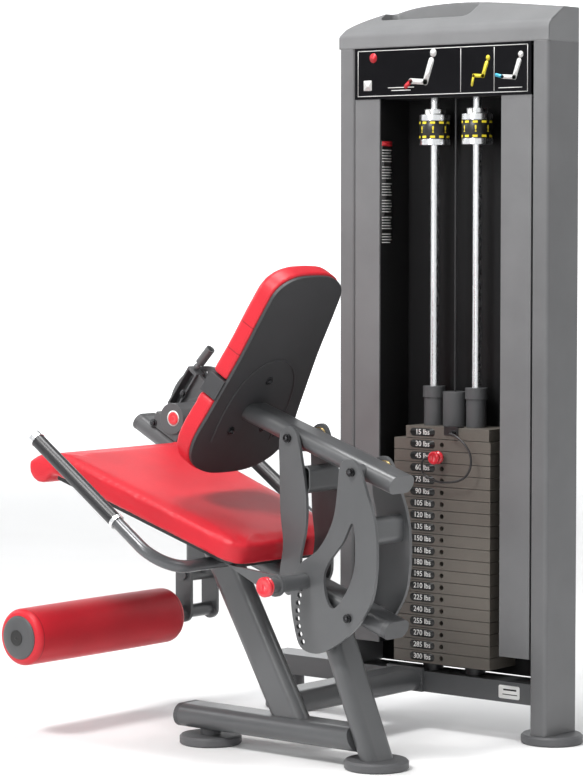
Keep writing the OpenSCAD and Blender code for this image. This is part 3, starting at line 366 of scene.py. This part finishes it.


# the joined surfaces as an object that rides a body, with its material
def piece(name, parts, look, body, smooth=True):
    verts, faces = join(parts)
    mesh = bpy.data.meshes.new(name)
    mesh.from_pydata(verts.tolist(), [], faces)
    mesh.validate()
    if smooth:
        mesh.shade_smooth()
    obj = bpy.data.objects.new(name, mesh)
    scene.collection.objects.link(obj)
    mesh.materials.append(mats[look] if isinstance(look, str) else look)
    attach(obj, body)
    return obj


# three square directions with the last along a given axis
def basis(axis):
    w = np.array(axis, float) / np.linalg.norm(axis)
    u = np.cross([0.0, 0.0, 1.0] if abs(w[2]) < 0.9 else [1.0, 0.0, 0.0], w)
    u /= np.linalg.norm(u)
    return u, np.cross(w, u), w


# surface of revolution: at + r (cos a u + sin a v) + h w for each (r, h) of the profile;
# sides gives the corners of a hexagon head, 0 a smooth round
def lathe(profile, at, axis, turns=40, sides=0):
    u, v, w = basis(axis)
    angle = np.linspace(0, 2 * math.pi, turns, endpoint=False)
    reach = np.ones(turns)
    if sides:
        part = 2 * math.pi / sides
        reach = math.cos(part / 2) / np.cos((angle % part) - part / 2)
    ring = np.cos(angle)[:, None] * u + np.sin(angle)[:, None] * v
    rings = [np.array(at) + r * mm * reach[:, None] * ring + h * mm * w for r, h in profile]
    return closeRings(np.array(rings))


# round tube of radius r along a path: each ring lies square to the path's direction
def sweep(path, r, turns=14):
    path = np.array(path, float)
    along = np.gradient(path, axis=0)
    along /= np.linalg.norm(along, axis=1)[:, None]
    side = np.cross(along, [0.0, 0.0, 1.0])
    side /= np.maximum(np.linalg.norm(side, axis=1), 1e-6)[:, None]
    for n in range(1, len(side)):
        side[n] = side[n - 1] - along[n] * side[n - 1].dot(along[n])
        side[n] /= np.linalg.norm(side[n])
    other = np.cross(along, side)
    angle = np.linspace(0, 2 * math.pi, turns, endpoint=False)
    rings = path[:, None] + r * (np.cos(angle)[None, :, None] * side[:, None]
        + np.sin(angle)[None, :, None] * other[:, None])
    return closeRings(rings)


# smooth curve through points: the Catmull-Rom cubic between each pair
def smoothPath(points, steps):
    p = np.array(points, float)
    ends = np.vstack([2 * p[0] - p[1], p, 2 * p[-1] - p[-2]])
    t = np.linspace(0, 1, steps, endpoint=False)[:, None]
    rows = []
    for n in range(1, len(ends) - 2):
        a, b, c, d = ends[n - 1:n + 3]
        rows.append(0.5 * (2 * b + (c - a) * t + (2 * a - 5 * b + 4 * c - d) * t ** 2
            + (3 * b - a - 3 * c + d) * t ** 3))
    return np.vstack(rows + [p[-1:]])


# rectangle with quarter-circle corners, as points round it: the middle of a corner
# plus r (cos a, sin a), with a from that corner's start to 90 degrees on
def rounded(half, high, r, count=6):
    pts = []
    for cx, cy, start in ((1, 1, 0), (-1, 1, 90), (-1, -1, 180), (1, -1, 270)):
        for k in range(count + 1):
            a = math.radians(start + 90 * k / count)
            pts.append((cx * (half - r) + r * math.cos(a), cy * (high - r) + r * math.sin(a)))
    return np.array(pts)


# flat plate facing +X, its middle at a point: the rounded outline at x = 0, 0.7 thick
# and thick, where it is drawn in to 1 - 0.6 thick / high of its size
def badge(at, wide, high, r, thick):
    outline = rounded(wide / 2, high / 2, r) * mm
    rings = []
    for x, shrink in ((0, 1.0), (thick * 0.7, 1.0), (thick, 1 - 0.6 * thick / high)):
        ring = np.zeros((len(outline), 3))
        ring[:, 0] = at[0] + x * mm
        ring[:, 1] = at[1] + outline[:, 0] * shrink
        ring[:, 2] = at[2] + outline[:, 1] * shrink
        rings.append(ring)
    return closeRings(np.array(rings))


# letters that stand on a face towards +X, reading towards +Y: (u, v, w) of the text
# goes to (w, u stretch, v)
def lettering(words, at, size, thick=0.15, stretch=1.0):
    data = bpy.data.curves.new("letters", "FONT")
    data.body = words
    data.size = size * mm
    data.extrude = thick * mm
    data.offset = 0.012 * size * mm
    data.align_x = "CENTER"
    data.align_y = "CENTER"
    data.resolution_u = 3
    text = bpy.data.objects.new("letters", data)
    scene.collection.objects.link(text)
    mesh = text.evaluated_get(bpy.context.evaluated_depsgraph_get()).to_mesh()
    flat = np.array([v.co for v in mesh.vertices], float).reshape(-1, 3)
    faces = [list(p.vertices) for p in mesh.polygons]
    bpy.data.objects.remove(text)
    verts = np.stack([at[0] + flat[:, 2], at[1] + flat[:, 0] * stretch, at[2] + flat[:, 1]], -1)
    return verts, faces


# the frame of the seat slope and of the back

seatTilt = math.radians(18.7)
rearPivot = np.array([-20.0, 306.0])
backLean = math.radians(30.5)
backFoot = np.array([-395.5, 567.0])


# (x, s, n) on the slope: Y = Yp - s cos t + n sin t, Z = Zp + s sin t + n cos t
def onSlope(x, s, n):
    y = rearPivot[0] - s * math.cos(seatTilt) + n * math.sin(seatTilt)
    z = rearPivot[1] + s * math.sin(seatTilt) + n * math.cos(seatTilt)
    return np.stack(np.broadcast_arrays(x * mm, y * mm, z * mm), -1)


# (x, v, q) on the back: Y = Yb + v sin l - q cos l, Z = Zb + v cos l + q sin l
def onBack(x, v, q):
    y = backFoot[0] + v * math.sin(backLean) - q * math.cos(backLean)
    z = backFoot[1] + v * math.cos(backLean) + q * math.sin(backLean)
    return np.stack(np.broadcast_arrays(x * mm, y * mm, z * mm), -1)


# lets a stuffed piece swell as cloth under pressure: the surface is remeshed, blown up
# for a few frames, and each point keeps its move, shortened to most where it is longer:
# start + move min(1, most / |move|)
def swell(obj, cell, most, pinned, relaxes=4):
    bpy.context.view_layer.objects.active = obj
    obj.select_set(True)
    remesh = obj.modifiers.new("even", "REMESH")
    remesh.mode = "VOXEL"
    remesh.voxel_size = cell * mm
    remesh.use_smooth_shade = True
    bpy.ops.object.modifier_apply(modifier=remesh.name)
    count = len(obj.data.vertices)
    start = np.zeros(count * 3)
    obj.data.vertices.foreach_get("co", start)
    start = start.reshape(-1, 3)
    held = obj.vertex_groups.new(name="held")
    held.add(np.flatnonzero(pinned(start)).tolist(), 1.0, "REPLACE")
    cloth = obj.modifiers.new("cloth", "CLOTH")
    cloth.settings.use_pressure = True
    cloth.settings.uniform_pressure_force = 4.0
    cloth.settings.effector_weights.gravity = 0.0
    cloth.settings.quality = 4
    cloth.settings.vertex_group_mass = "held"
    cloth.point_cache.frame_start = 1
    cloth.point_cache.frame_end = 20
    for step in range(1, 21):
        scene.frame_set(step)
    blown = obj.evaluated_get(bpy.context.evaluated_depsgraph_get()).data
    end = np.zeros(count * 3)
    blown.vertices.foreach_get("co", end)
    move = end.reshape(-1, 3) - start
    size = np.linalg.norm(move, axis=1)
    move *= (np.minimum(size, most * mm) / np.maximum(size, 1e-9))[:, None]
    obj.modifiers.remove(cloth)
    obj.vertex_groups.remove(held)
    scene.frame_set(1)
    obj.data.vertices.foreach_set("co", (start + move).ravel())
    obj.data.update()
    relax = obj.modifiers.new("relax", "SMOOTH")
    relax.factor = 0.5
    relax.iterations = relaxes
    bpy.ops.object.modifier_apply(modifier=relax.name)
    finer = obj.modifiers.new("finer", "SUBSURF")
    finer.levels = 1
    finer.render_levels = 1
    bpy.ops.object.modifier_apply(modifier=finer.name)
    obj.data.shade_smooth()
    obj.select_set(False)


# seat

seat = {"rear": 218.0, "front": 742.0, "rollAt": 757.0, "rollN": 27.0, "rollR": 31.5,
    "rearHalf": 181.0, "frontHalf": 213.0, "corner": 45.0, "low": 27.6, "top": 71.5, "edge": 8.0,
    "bendAt": 705.0, "nose": 83.2}


# half width, lowest and highest n of the seat at a distance s along the slope; the
# front is a quarter of an ellipse, n = rollN + high sqrt(1 - ((s - bendAt) / long)^2)
def seatSection(s):
    share = (s - seat["rear"]) / (seat["front"] - seat["rear"])
    half = seat["rearHalf"] + (seat["frontHalf"] - seat["rearHalf"]) * min(1.0, share)
    past = s - seat["rear"]
    if past < seat["corner"]:
        half -= seat["corner"] - math.sqrt(max(0.0, seat["corner"] ** 2 - (seat["corner"] - past) ** 2))
    top = seat["top"]
    if past < seat["edge"]:
        top -= seat["edge"] - math.sqrt(max(0.0, seat["edge"] ** 2 - (seat["edge"] - past) ** 2))
    if s > seat["bendAt"]:
        way = (s - seat["bendAt"]) / (seat["rollAt"] + seat["rollR"] - seat["bendAt"])
        top = seat["rollN"] + (seat["top"] - seat["rollN"]) * math.sqrt(max(0.0, 1 - way * way))
    low = seat["low"]
    over = s - seat["rollAt"]
    if over > -seat["rollR"]:
        low = min(low, seat["rollN"] - math.sqrt(max(0.0, seat["rollR"] ** 2 - over ** 2)))
    return half, low, top


stations = np.concatenate([
    seat["rear"] + seat["corner"] * (1 - np.cos(np.linspace(0, math.pi / 2, 14))),
    np.linspace(seat["rear"] + seat["corner"], seat["bendAt"], 46)[1:],
    seat["bendAt"] + seat["nose"] * np.sin(np.linspace(0.06, math.pi / 2, 24))])
rings = []
for s in stations:
    half, low, top = seatSection(s)
    high = max(0.4, (top - low) / 2)
    loop = rounded(max(1.0, half), high, min(high * 0.98, seat["edge"]), 6)
    rings.append(onSlope(loop[:, 0], s, (top + low) / 2 + loop[:, 1]))
seatPiece = piece("seat_cushion", [closeRings(np.array(rings))], "red", "frame")
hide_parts("seat_pad")


# the points that stay put under the seat: n, the height over the slope, below low + 5
def nearBoard(points):
    back = (points[:, 1] - rearPivot[0] * mm) * math.sin(seatTilt)
    rise = back + (points[:, 2] - rearPivot[1] * mm) * math.cos(seatTilt)
    return rise < (seat["low"] + 5.0) * mm


swell(seatPiece, 6.0, 4.0, nearBoard)
print("seat", flush=True)


# back

back = {"lowHalf": 152.0, "topHalf": 111.0, "long": 479.0, "thick": 43.0, "shell": 7.0,
    "bandLow": 184.0, "bandHigh": 228.0, "edge": 8.0, "crown": 3.0, "seams": (290.0, 352.0)}
halfShape = [(0, 0), (0.46 * back["lowHalf"], 6), (0.85 * back["lowHalf"], 34), (back["lowHalf"], 85),
    (0.93 * back["lowHalf"], 165), (123, 290), (113, 394), (102, 446), (0.56 * back["topHalf"], 473),
    (0, back["long"])]
loopShape = np.array(halfShape + [(-x, y) for x, y in halfShape[-2:0:-1]], float)


# closed Catmull-Rom curve through the outline, sampled evenly
def closedCurve(points, count):
    p = np.vstack([points[-1:], points, points[:2]])
    t = np.linspace(0, 1, 12, endpoint=False)[:, None]
    rows = []
    for n in range(1, len(points) + 1):
        a, b, c, d = p[n - 1], p[n], p[n + 1], p[n + 2]
        rows.append(0.5 * (2 * b + (c - a) * t + (2 * a - 5 * b + 4 * c - d) * t ** 2
            + (3 * b - a - 3 * c + d) * t ** 3))
    return evenly(np.vstack(rows), count)


# points at equal steps of the running length round a closed curve
def evenly(points, count):
    ring = np.vstack([points, points[:1]])
    length = np.concatenate([[0], np.cumsum(np.linalg.norm(np.diff(ring, axis=0), axis=1))])
    at = np.linspace(0, length[-1], count, endpoint=False)
    return np.stack([np.interp(at, length, ring[:, k]) for k in range(2)], -1)


# outline of the back between two heights, its corners eased by taking each point as
# (before + 2 point + after) / 4, six times
def backSlice(low, high, count=160):
    whole = closedCurve(loopShape, 720)
    inside = np.clip(whole[:, 1], low, high)
    kept = np.stack([whole[:, 0], inside], -1)
    kept = evenly(kept[(whole[:, 1] >= low - 6) & (whole[:, 1] <= high + 6)], count)
    for _ in range(6):
        kept = (np.roll(kept, 1, 0) + 2 * kept + np.roll(kept, -1, 0)) / 4
    return kept


# the outline moved inwards: point + by normal
def inward(outline, by):
    step = np.roll(outline, -1, 0) - np.roll(outline, 1, 0)
    step /= np.linalg.norm(step, axis=1)[:, None]
    normal = np.stack([-step[:, 1], step[:, 0]], -1)
    middle = outline.mean(0)
    if ((middle - outline) * normal).sum() < 0:
        normal = -normal
    return outline + by * normal


# a pad over an outline: a straight side, a quarter-round edge, and a crowned face
# whose height is q = top + crown (1 - k^2) on the ring at share k of the way out
def padOver(outline, q0, q1, edge, crown, place):
    rings = [place(*(inward(outline, 3.0).T), q0), place(*outline.T, q0 + 2.0)]
    for k in range(7):
        a = math.radians(90 * k / 6)
        rings.append(place(*(inward(outline, edge * (1 - math.cos(a))).T),
            q1 - edge + edge * math.sin(a)))
    inner = inward(outline, edge)
    middle = inner.mean(0)
    for k in np.linspace(0.94, 0.05, 22):
        ring = middle + (inner - middle) * k
        rings.append(place(*ring.T, q1 + crown * (1 - k * k)))
    return closeRings(np.array(rings))


backRed = vinyl("backVinyl", redLook, origin=tuple(onBack(0.0, 0.0, 0.0)),
    along=(0.0, math.sin(backLean), math.cos(backLean)), seams=back["seams"])
low = back["shell"] + 0.4
high = back["shell"] + back["thick"]
upper = padOver(backSlice(back["bandHigh"] + 0.5, back["long"]), low, high, back["edge"],
    back["crown"], onBack)
lower = padOver(backSlice(0.0, back["bandLow"] - 0.5), low, high, back["edge"], back["crown"], onBack)
backPiece = piece("back_cushion", [upper, lower], backRed, "back")
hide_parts("back_pad")


# the points that stay put on the back: q, the height over the shell, below the edge
def nearShell(points):
    ahead = (points[:, 1] - backFoot[0] * mm) * -math.cos(backLean)
    away = ahead + (points[:, 2] - backFoot[1] * mm) * math.sin(backLean)
    return away < (back["shell"] + back["thick"] - back["edge"] - 3.0) * mm


swell(backPiece, 4.0, 2.5, nearShell, 1)

# the raised arch on the shell, and a black strip in its small slot as painted shade
arch = [(98, 85), (99, 140), (92, 195), (72, 240), (38, 268), (0, 277), (-38, 268), (-72, 240),
    (-92, 195), (-99, 140), (-98, 85)]
archPath = smoothPath([onBack(x, v, -0.3) for x, v in arch], 8)
piece("back_shell_arch", [sweep(archPath, 2.0 * mm)], "shell", "back")
slotPath = smoothPath([onBack(x, v, -0.2) for x, v in ((-88, 78), (-87, 96), (-84, 114))], 6)
piece("back_shell_slot_shade", [sweep(slotPath, 1.5 * mm, 10)], "labelBlack", "back")
print("back", flush=True)


# shin roller

roller = {"at": (0.016, -0.757, 0.219), "half": 229.0, "r": 60.0, "edge": 14.0, "hole": 15.3,
    "crown": 0.7, "seams": (-198.0, 230.0)}
profile = [(roller["hole"], -roller["half"])]
for k in range(9):
    a = math.radians(90 * k / 8)
    profile.append((roller["r"] - roller["edge"] * (1 - math.sin(a)),
        -roller["half"] + roller["edge"] * (1 - math.cos(a))))
for k in np.linspace(-0.9, 0.9, 25):
    profile.append((roller["r"] + roller["crown"] * (1 - k * k), k * (roller["half"] - roller["edge"])))
for k in range(8, -1, -1):
    a = math.radians(90 * k / 8)
    profile.append((roller["r"] - roller["edge"] * (1 - math.sin(a)),
        roller["half"] - roller["edge"] * (1 - math.cos(a))))
profile.append((roller["hole"], roller["half"]))
rollerRed = vinyl("rollerVinyl", redLook, origin=(0.0, 0.0, 0.0), along=(1.0, 0.0, 0.0),
    seams=roller["seams"])
rollerPiece = piece("shin_roller", [lathe(profile, roller["at"], (1, 0, 0), 72)], rollerRed,
    "roller")
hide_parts("roller_pad")
capFace = (0.2535,) + roller["at"][1:]
piece("roller_cap_rings", [
    lathe([(15.0, 0.9), (17.0, 0.9), (17.0, 0), (14.6, 0)], capFace, (1, 0, 0), 48),
    lathe([(0, 0), (3.2, 0), (3.2, 1.4), (1.6, 1.6), (0, 1.0)], capFace, (1, 0, 0), 24)],
    "labelBlack", "roller")
print("roller", flush=True)


# weight stack labels

stack = {"near": -417.0, "y": -203.0, "head": 625.6, "pitch": 25.4, "lifted": 3, "count": 20, "step": 15}
for body, first, last in (("lifted_stack", 0, stack["lifted"]),
        ("frame", stack["lifted"], stack["count"])):
    ovals, words = [], []
    for k in range(first, last):
        z = (stack["head"] + stack["pitch"] * (0.5 - k)) * mm
        at = (stack["near"] * mm, stack["y"] * mm, z)
        ovals.append(badge(at, 66.0, 17.0, 8.4, 0.3))
        words.append(lettering(f"{stack['step'] * (k + 1)} lbs", (at[0] + 0.5 * mm, at[1], at[2]),
            16.0, 0.12))
    piece(f"plate_labels_{body}", ovals, "labelBlack", body)
    piece(f"plate_numbers_{body}", words, "white", body, smooth=False)
print("labels", flush=True)


# bolts

hexHead = [(0, 0), (7.0, 0), (7.0, 4.4), (6.2, 5.2), (0, 5.4)]
socketHead = [(0, 0), (6.5, 0), (6.5, 2.6), (5.2, 4.6), (3.2, 5.0), (3.0, 3.0), (0, 2.6)]
washer = [(0, 0), (9.5, 0), (9.5, 1.2), (9.0, 1.6), (0, 1.6)]


# a washer and a head on it, both turned about the axis
def bolt(at, axis, head=hexHead, base=washer):
    at = np.array(at, float)
    w = basis(axis)[2]
    return [lathe(base, at, axis, 32), lathe(head, at + 1.6 * mm * w, axis, 36,
        6 if head is hexHead else 0)]


# a bolt square to the back, at (x, v, 0) on it
def backBolt(x, v):
    outward = (0.0, math.cos(backLean), -math.sin(backLean))
    return bolt(onBack(x, v, 0.0), outward, socketHead)


piece("back_bolts", backBolt(0, 228) + backBolt(-50, 110) + backBolt(50, 110), "bolt", "back")
piece("frame_bolts",
    bolt((-0.236, -0.815, 0.640), (1, 0, 0)) + bolt((-0.416, -0.225, 0.101), (1, 0, 0))
    + bolt((-0.416, -0.275, 0.101), (1, 0, 0))
    + bolt((0.158, -0.1326, 0.371), (1, 0, 0), socketHead),
    "bolt", "frame")
piece("arm_bolts", bolt((-0.315, -0.797, 0.702), (1, 0, 0)), "bolt", "arm")

# small hexagon heads on the pins of the two links, near and far ends
pins = {"rise": 289.89, "lean": 8.0, "apart": 182.0, "front": (60.2, -60.2), "rear": (72.2, -55.2)}
smallHex = [(0, 0), (6.0, 0), (6.0, 3.0), (5.2, 3.8), (0, 4.0)]
foot = np.array([rearPivot[0] - pins["apart"] * math.cos(seatTilt),
    rearPivot[1] + pins["apart"] * math.sin(seatTilt)])
lift = np.array([pins["lean"], pins["rise"]])


# a small head at each x of a pin, facing away from the middle
def pinHeads(at, sides):
    return [lathe(smallHex, (x * mm, at[0] * mm, at[1] * mm), (math.copysign(1, x), 0, 0), 36, 6)
        for x in sides]


piece("lower_pin_heads", pinHeads(foot, pins["front"]) + pinHeads(rearPivot, pins["rear"]),
    "bolt", "frame")
piece("upper_pin_heads", pinHeads(foot + lift, pins["front"]) + pinHeads(rearPivot + lift, pins["rear"]),
    "bolt", "back")


# lowest and highest corner of a part, over all its points
def limits(name):
    points = np.array([v.co for v in nodes[name].data.vertices], float)
    return points.min(0), points.max(0)


# red knobs with a flange, a waist and a rounded face, on their steel pins: the profile
# (radius, x) from the end of the pin to the face of the knob, turned about X
def knob(name, visual, body, r, long, stem):
    low, high = limits(name)
    at = (0.0, (low[1] + high[1]) / 2, (low[2] + high[2]) / 2)
    back, face = low[0] / mm, high[0] / mm
    start = face - long
    profile = [(0, back), (stem, back + 0.6), (stem, start - 4), (0.62 * r, start - 4),
        (0.66 * r, start), (0.97 * r, start + 0.4), (r, start + 1.6), (r, start + 0.22 * long),
        (0.95 * r, start + 0.28 * long), (0.74 * r, start + 0.36 * long), (0.7 * r, start + 0.5 * long),
        (0.76 * r, start + 0.6 * long), (0.95 * r, start + 0.68 * long), (r, start + 0.74 * long),
        (r, face - 1.8), (0.95 * r, face - 0.5), (0.82 * r, face), (0.5 * r, face), (0.42 * r, face - 1.2),
        (0, face - 1.4)]
    shown = piece(visual, [lathe(profile, at, (1, 0, 0), 56)], "knob", body)
    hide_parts(name)


knob("selector_pin", "selector_knob", "selector", 14.0, 20.0, 4.6)
knob("adjuster_pin", "adjuster_knob", "adjuster", 20.0, 12.0, 4.9)

# a black disc in the end of the pull grip: painted shade in its hollow
piece("pull_grip_hollow_shade", [lathe([(0, 0), (6.8, 0), (6.8, 0.5), (5.5, 0.7), (0, 0.3)],
    (-0.328, -0.727, 0.804), (0, 40, 41), 32)], "labelBlack", "trigger")
print("bolts", flush=True)


# lanyard of the selector pin

cordRoute = [(-395, -115, 641), (-391, -98, 637), (-390, -74, 622), (-390, -58, 600),
    (-390, -56, 577), (-390, -66, 556), (-390, -86, 543), (-390, -112, 538), (-390, -138, 537),
    (-390, -163, 543), (-390, -181, 554), (-391, -186, 570), (-391, -181, 582), (-391, -169, 587)]
cordPath = smoothPath([np.array(p) * mm for p in cordRoute], 5)
cordPiece = piece("selector_lanyard", [sweep(cordPath, 2.4 * mm, 12)], "cable", "lifted_stack")
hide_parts("pin_lanyard")


# add-on weights: bands, printed marks and latches

# bends a sign that faces +X round a weight: r = reach + x and side = y, turned by a
# about Z, to (r cos a - side sin a, r sin a + side cos a, z)
def roundWeight(sign, reach, turn, at):
    verts, faces = sign
    a = math.radians(turn)
    r, side = reach * mm + verts[:, 0], verts[:, 1]
    out = np.stack([math.cos(a) * r - math.sin(a) * side, math.sin(a) * r + math.cos(a) * side,
        verts[:, 2]], -1)
    return out + np.array(at), faces


addon = {"x": -0.464, "foot": 1.250, "band": 32.6, "markR": 32.7, "dashR": 32.65, "markAt": 1.282,
    "dashAt": (1.267, 1.297), "latchAt": 1.318}
for body, y in (("addon_front", -0.208), ("addon_rear", -0.096)):
    x = addon["x"]
    band = [(31.9, 12.6), (addon["band"], 13.0), (addon["band"], 51.0), (31.9, 51.4)]
    bands = lathe(band, (x, y, addon["foot"]), (0, 0, 1), 64)
    piece(f"{body}_band", [bands], "labelBlack", body)
    mark, dash = lettering("!", (0, 0, 0), 20.0, 0.2, 1.4), badge((0, 0, 0), 11.0, 5.0, 1.0, 0.3)
    signs = [roundWeight(mark, addon["markR"], turn, (x, y, addon["markAt"])) for turn in (-20, 30, 80)]
    for turn in range(-40, 130, 34):
        signs += [roundWeight(dash, addon["dashR"], turn, (x, y, z)) for z in addon["dashAt"]]
    piece(f"{body}_print", signs, "yellow", body, smooth=False)
    latch = [badge((x + 0.0215, y, addon["latchAt"]), 12.0, 14.0, 3.0, 6.0)]
    piece(f"{body}_latch", latch, "white", body)
print("add-on weights", flush=True)


# placard

# white rules round and between the fields, each from (y0, z0) to (y1, z1)
placard = {"x": -0.406, "rules": [(-0.372, 0.074, 1.451, 1.4525), (-0.372, 0.074, 1.3545, 1.356),
    (-0.372, -0.3705, 1.356, 1.451), (0.0725, 0.074, 1.356, 1.451), (-0.098, -0.0965, 1.358, 1.449),
    (-0.012, -0.0105, 1.358, 1.449)]}
lines = []
for y0, y1, z0, z1 in placard["rules"]:
    lines.append(badge((placard["x"], (y0 + y1) / 2, (z0 + z1) / 2), (y1 - y0) / mm, (z1 - z0) / mm,
        0.4, 0.2))
for y, z, wide in [(-0.255, 1.372, 70), (-0.255, 1.366, 52), (0.03, 1.364, 60)]:
    lines.append(badge((placard["x"], y, z), wide, 1.6, 0.6, 0.2))
piece("placard_lines", lines, "white", "frame")


# a limb of a pictogram: a flat bar from a to b on the placard, whose ends are half
# circles, end + thick / 2 (cos t along + sin t side)
def limb(a, b, thick):
    a, b = np.array(a), np.array(b)
    along = (b - a) / np.linalg.norm(b - a)
    side = np.array([-along[1], along[0]])
    outline = []
    for centre, sign in ((a, -1), (b, 1)):
        for k in range(9):
            t = math.radians(-90 + 180 * k / 8)
            outline.append(centre + thick / 2 * (sign * math.cos(t) * along + sign * math.sin(t) * side))
    outline = np.array(outline)
    rings = []
    for x in (0.0, 0.25):
        face = np.full(len(outline), placard["x"] + x * mm)
        rings.append(np.stack([face, outline[:, 0], outline[:, 1]], -1))
    return closeRings(np.array(rings))


# a seated pictogram with its hip at (y, z), k times as large, and its shin apart
def sitter(y, z, k, leg):
    joints = {"hip": (y, z), "neck": (y + 0.012 * k, z + 0.034 * k),
        "head": (y + 0.016 * k, z + 0.046 * k), "knee": (y - 0.030 * k, z + 0.002 * k), "foot": leg}
    body = [limb(joints["hip"], joints["neck"], 0.011 * k),
        limb(joints["head"], (joints["head"][0], joints["head"][1] + 0.001), 0.013 * k),
        limb(joints["hip"], joints["knee"], 0.009 * k)]
    return body, [limb(joints["knee"], joints["foot"], 0.0075 * k)]


seated, legUp = sitter(0.040, 1.385, 1.0, (-0.006, 1.391))
small, legDown = sitter(-0.040, 1.390, 0.8, (-0.068, 1.372))
tall, tallLeg = sitter(-0.190, 1.382, 1.3, (-0.242, 1.374))
piece("placard_figures", seated + tall, "white", "frame")
piece("placard_muscles", tallLeg + [limb((-0.330, 1.436), (-0.330, 1.437), 0.020)], "redPrint",
    "frame")
piece("placard_blue", legUp, "bluePrint", "frame")
piece("placard_yellow", small + legDown, "yellow", "frame")
piece("placard_panel_mark", [badge((placard["x"], -0.345, 1.378), 22.0, 22.0, 2.0, 0.2)], "white",
    "frame")
print("placard", flush=True)


# a badge turned to face +Y, its middle at a point: (x, y, z) goes to (-y, x, z)
def badgeRear(at, wide, high, r, thick):
    verts, faces = badge((0, 0, 0), wide, high, r, thick)
    return np.stack([at[0] - verts[:, 1], at[1] + verts[:, 0], at[2] + verts[:, 2]], -1), faces


# strip of rules on the inner return of the front panel, and the small plate on the base tube
strip = {"x": -0.4335, "y": -0.3139, "low": 1.045, "high": 1.262, "wide": 35.0, "rows": 34}
piece("side_strip", [badgeRear((strip["x"], strip["y"], (strip["low"] + strip["high"]) / 2), 41.0,
    (strip["high"] - strip["low"]) / mm, 2.0, 0.3)], "labelBlack", "frame")
piece("side_strip_head", [badgeRear((strip["x"], strip["y"] + 0.3 * mm, strip["high"] - 0.008), 36.0, 10.0,
    1.0, 0.25)], "redPrint", "frame")
rows = []
for n in range(strip["rows"]):
    wide = strip["wide"] - 5.0 * ((n * 7) % 4) / 3
    if n % 6 != 5:
        rows.append(badgeRear((strip["x"] + (strip["wide"] - wide) / 2 * mm, strip["y"] + 0.3 * mm,
            strip["high"] - 0.022 - 0.0060 * n), wide, 1.9, 0.6, 0.2))
piece("side_strip_lines", rows, "white", "frame")
piece("base_plate", [badge((-0.424, 0.021, 0.101), 54.0, 28.0, 4.0, 0.4)], "white", "frame")
piece("base_plate_lines", [badge((-0.4236, 0.023, 0.106), 34.0, 3.6, 1.2, 0.2),
    badge((-0.4236, 0.023, 0.096), 38.0, 2.0, 0.7, 0.2)], "labelBlack", "frame")

# ring mark on the knee bracket
markAt = (-0.2309, -0.752, 0.653)
piece("bracket_mark", [lathe([(0, 0), (17.5, 0), (17.5, 0.4), (0, 0.4)], markAt, (1, 0, 0), 48)],
    "white", "frame")
piece("bracket_mark_ring", [lathe([(0, 0), (14.5, 0), (14.5, 0.8), (8.0, 0.8), (7.5, 0.5), (0, 0.5)],
    markAt, (1, 0, 0), 48)], "redPrint", "frame")
print("small marks", flush=True)


# floor

floorMat = bpy.data.materials.new("floor")
floorMat.use_nodes = True
tree = floorMat.node_tree
shader = tree.nodes["Principled BSDF"]
tone = noiseAt(tree, objectPoint(tree), 0.8, 2.0)
tree.links.new(mixColour(tree, spread(tree, tone, 0.3, 0.7, 0.0, 1.0), (0.86, 0.86, 0.86, 1),
    (0.9, 0.9, 0.9, 1)), shader.inputs["Base Color"])
shader.inputs["Roughness"].default_value = 0.7
reach = addNode(tree, "ShaderNodeVectorMath", {0: objectPoint(tree), 1: (-0.77, -0.64, 0.3)},
    operation="DOT_PRODUCT").outputs["Value"]
shader.inputs["Emission Color"].default_value = (0.96, 0.97, 0.98, 1.0)
away = addNode(tree, "ShaderNodeVectorMath", {0: objectPoint(tree)}, operation="LENGTH").outputs["Value"]
glow = calc(tree, "ADD", spread(tree, reach, 3.0, 10.0, 0.0, 0.55), spread(tree, away, 5.0, 11.0, 0.0, 0.2))
tree.links.new(glow, shader.inputs["Emission Strength"])


# round floor that bends up all the way round: the profile, flat to a distance, then a
# quarter circle and a wall, turned about Z: (d cos a, d sin a, z)
def backdrop(flat, r, high, turns=64):
    bend = [(flat + r * math.sin(t), r - r * math.cos(t)) for t in np.linspace(0, math.pi / 2, 20)]
    profile = [(d, 0.0) for d in np.linspace(0.5, flat - 0.5, 10)] + bend + [(flat + r, high)]
    angle = np.linspace(0, 2 * math.pi, turns, endpoint=False)
    grid = np.array([np.stack([d * np.cos(angle), d * np.sin(angle), np.full(turns, z)], -1)
        for d, z in profile])
    middle = len(profile) * turns
    faces = [[middle, j, (j + 1) % turns] for j in range(turns)]
    for i in range(len(profile) - 1):
        faces += [[i * turns + j, (i + 1) * turns + j, (i + 1) * turns + (j + 1) % turns,
            i * turns + (j + 1) % turns] for j in range(turns)]
    return np.vstack([grid.reshape(-1, 3), np.zeros((1, 3))]), faces


verts, faces = backdrop(9.5, 3.0, 9.0)
floorMesh = bpy.data.meshes.new("floor")
floorMesh.from_pydata(verts.tolist(), [], faces)
floorMesh.shade_smooth()
floor = bpy.data.objects.new("floor", floorMesh)
scene.collection.objects.link(floor)
floorMesh.materials.append(floorMat)
scene.view_settings.view_transform = "Standard"
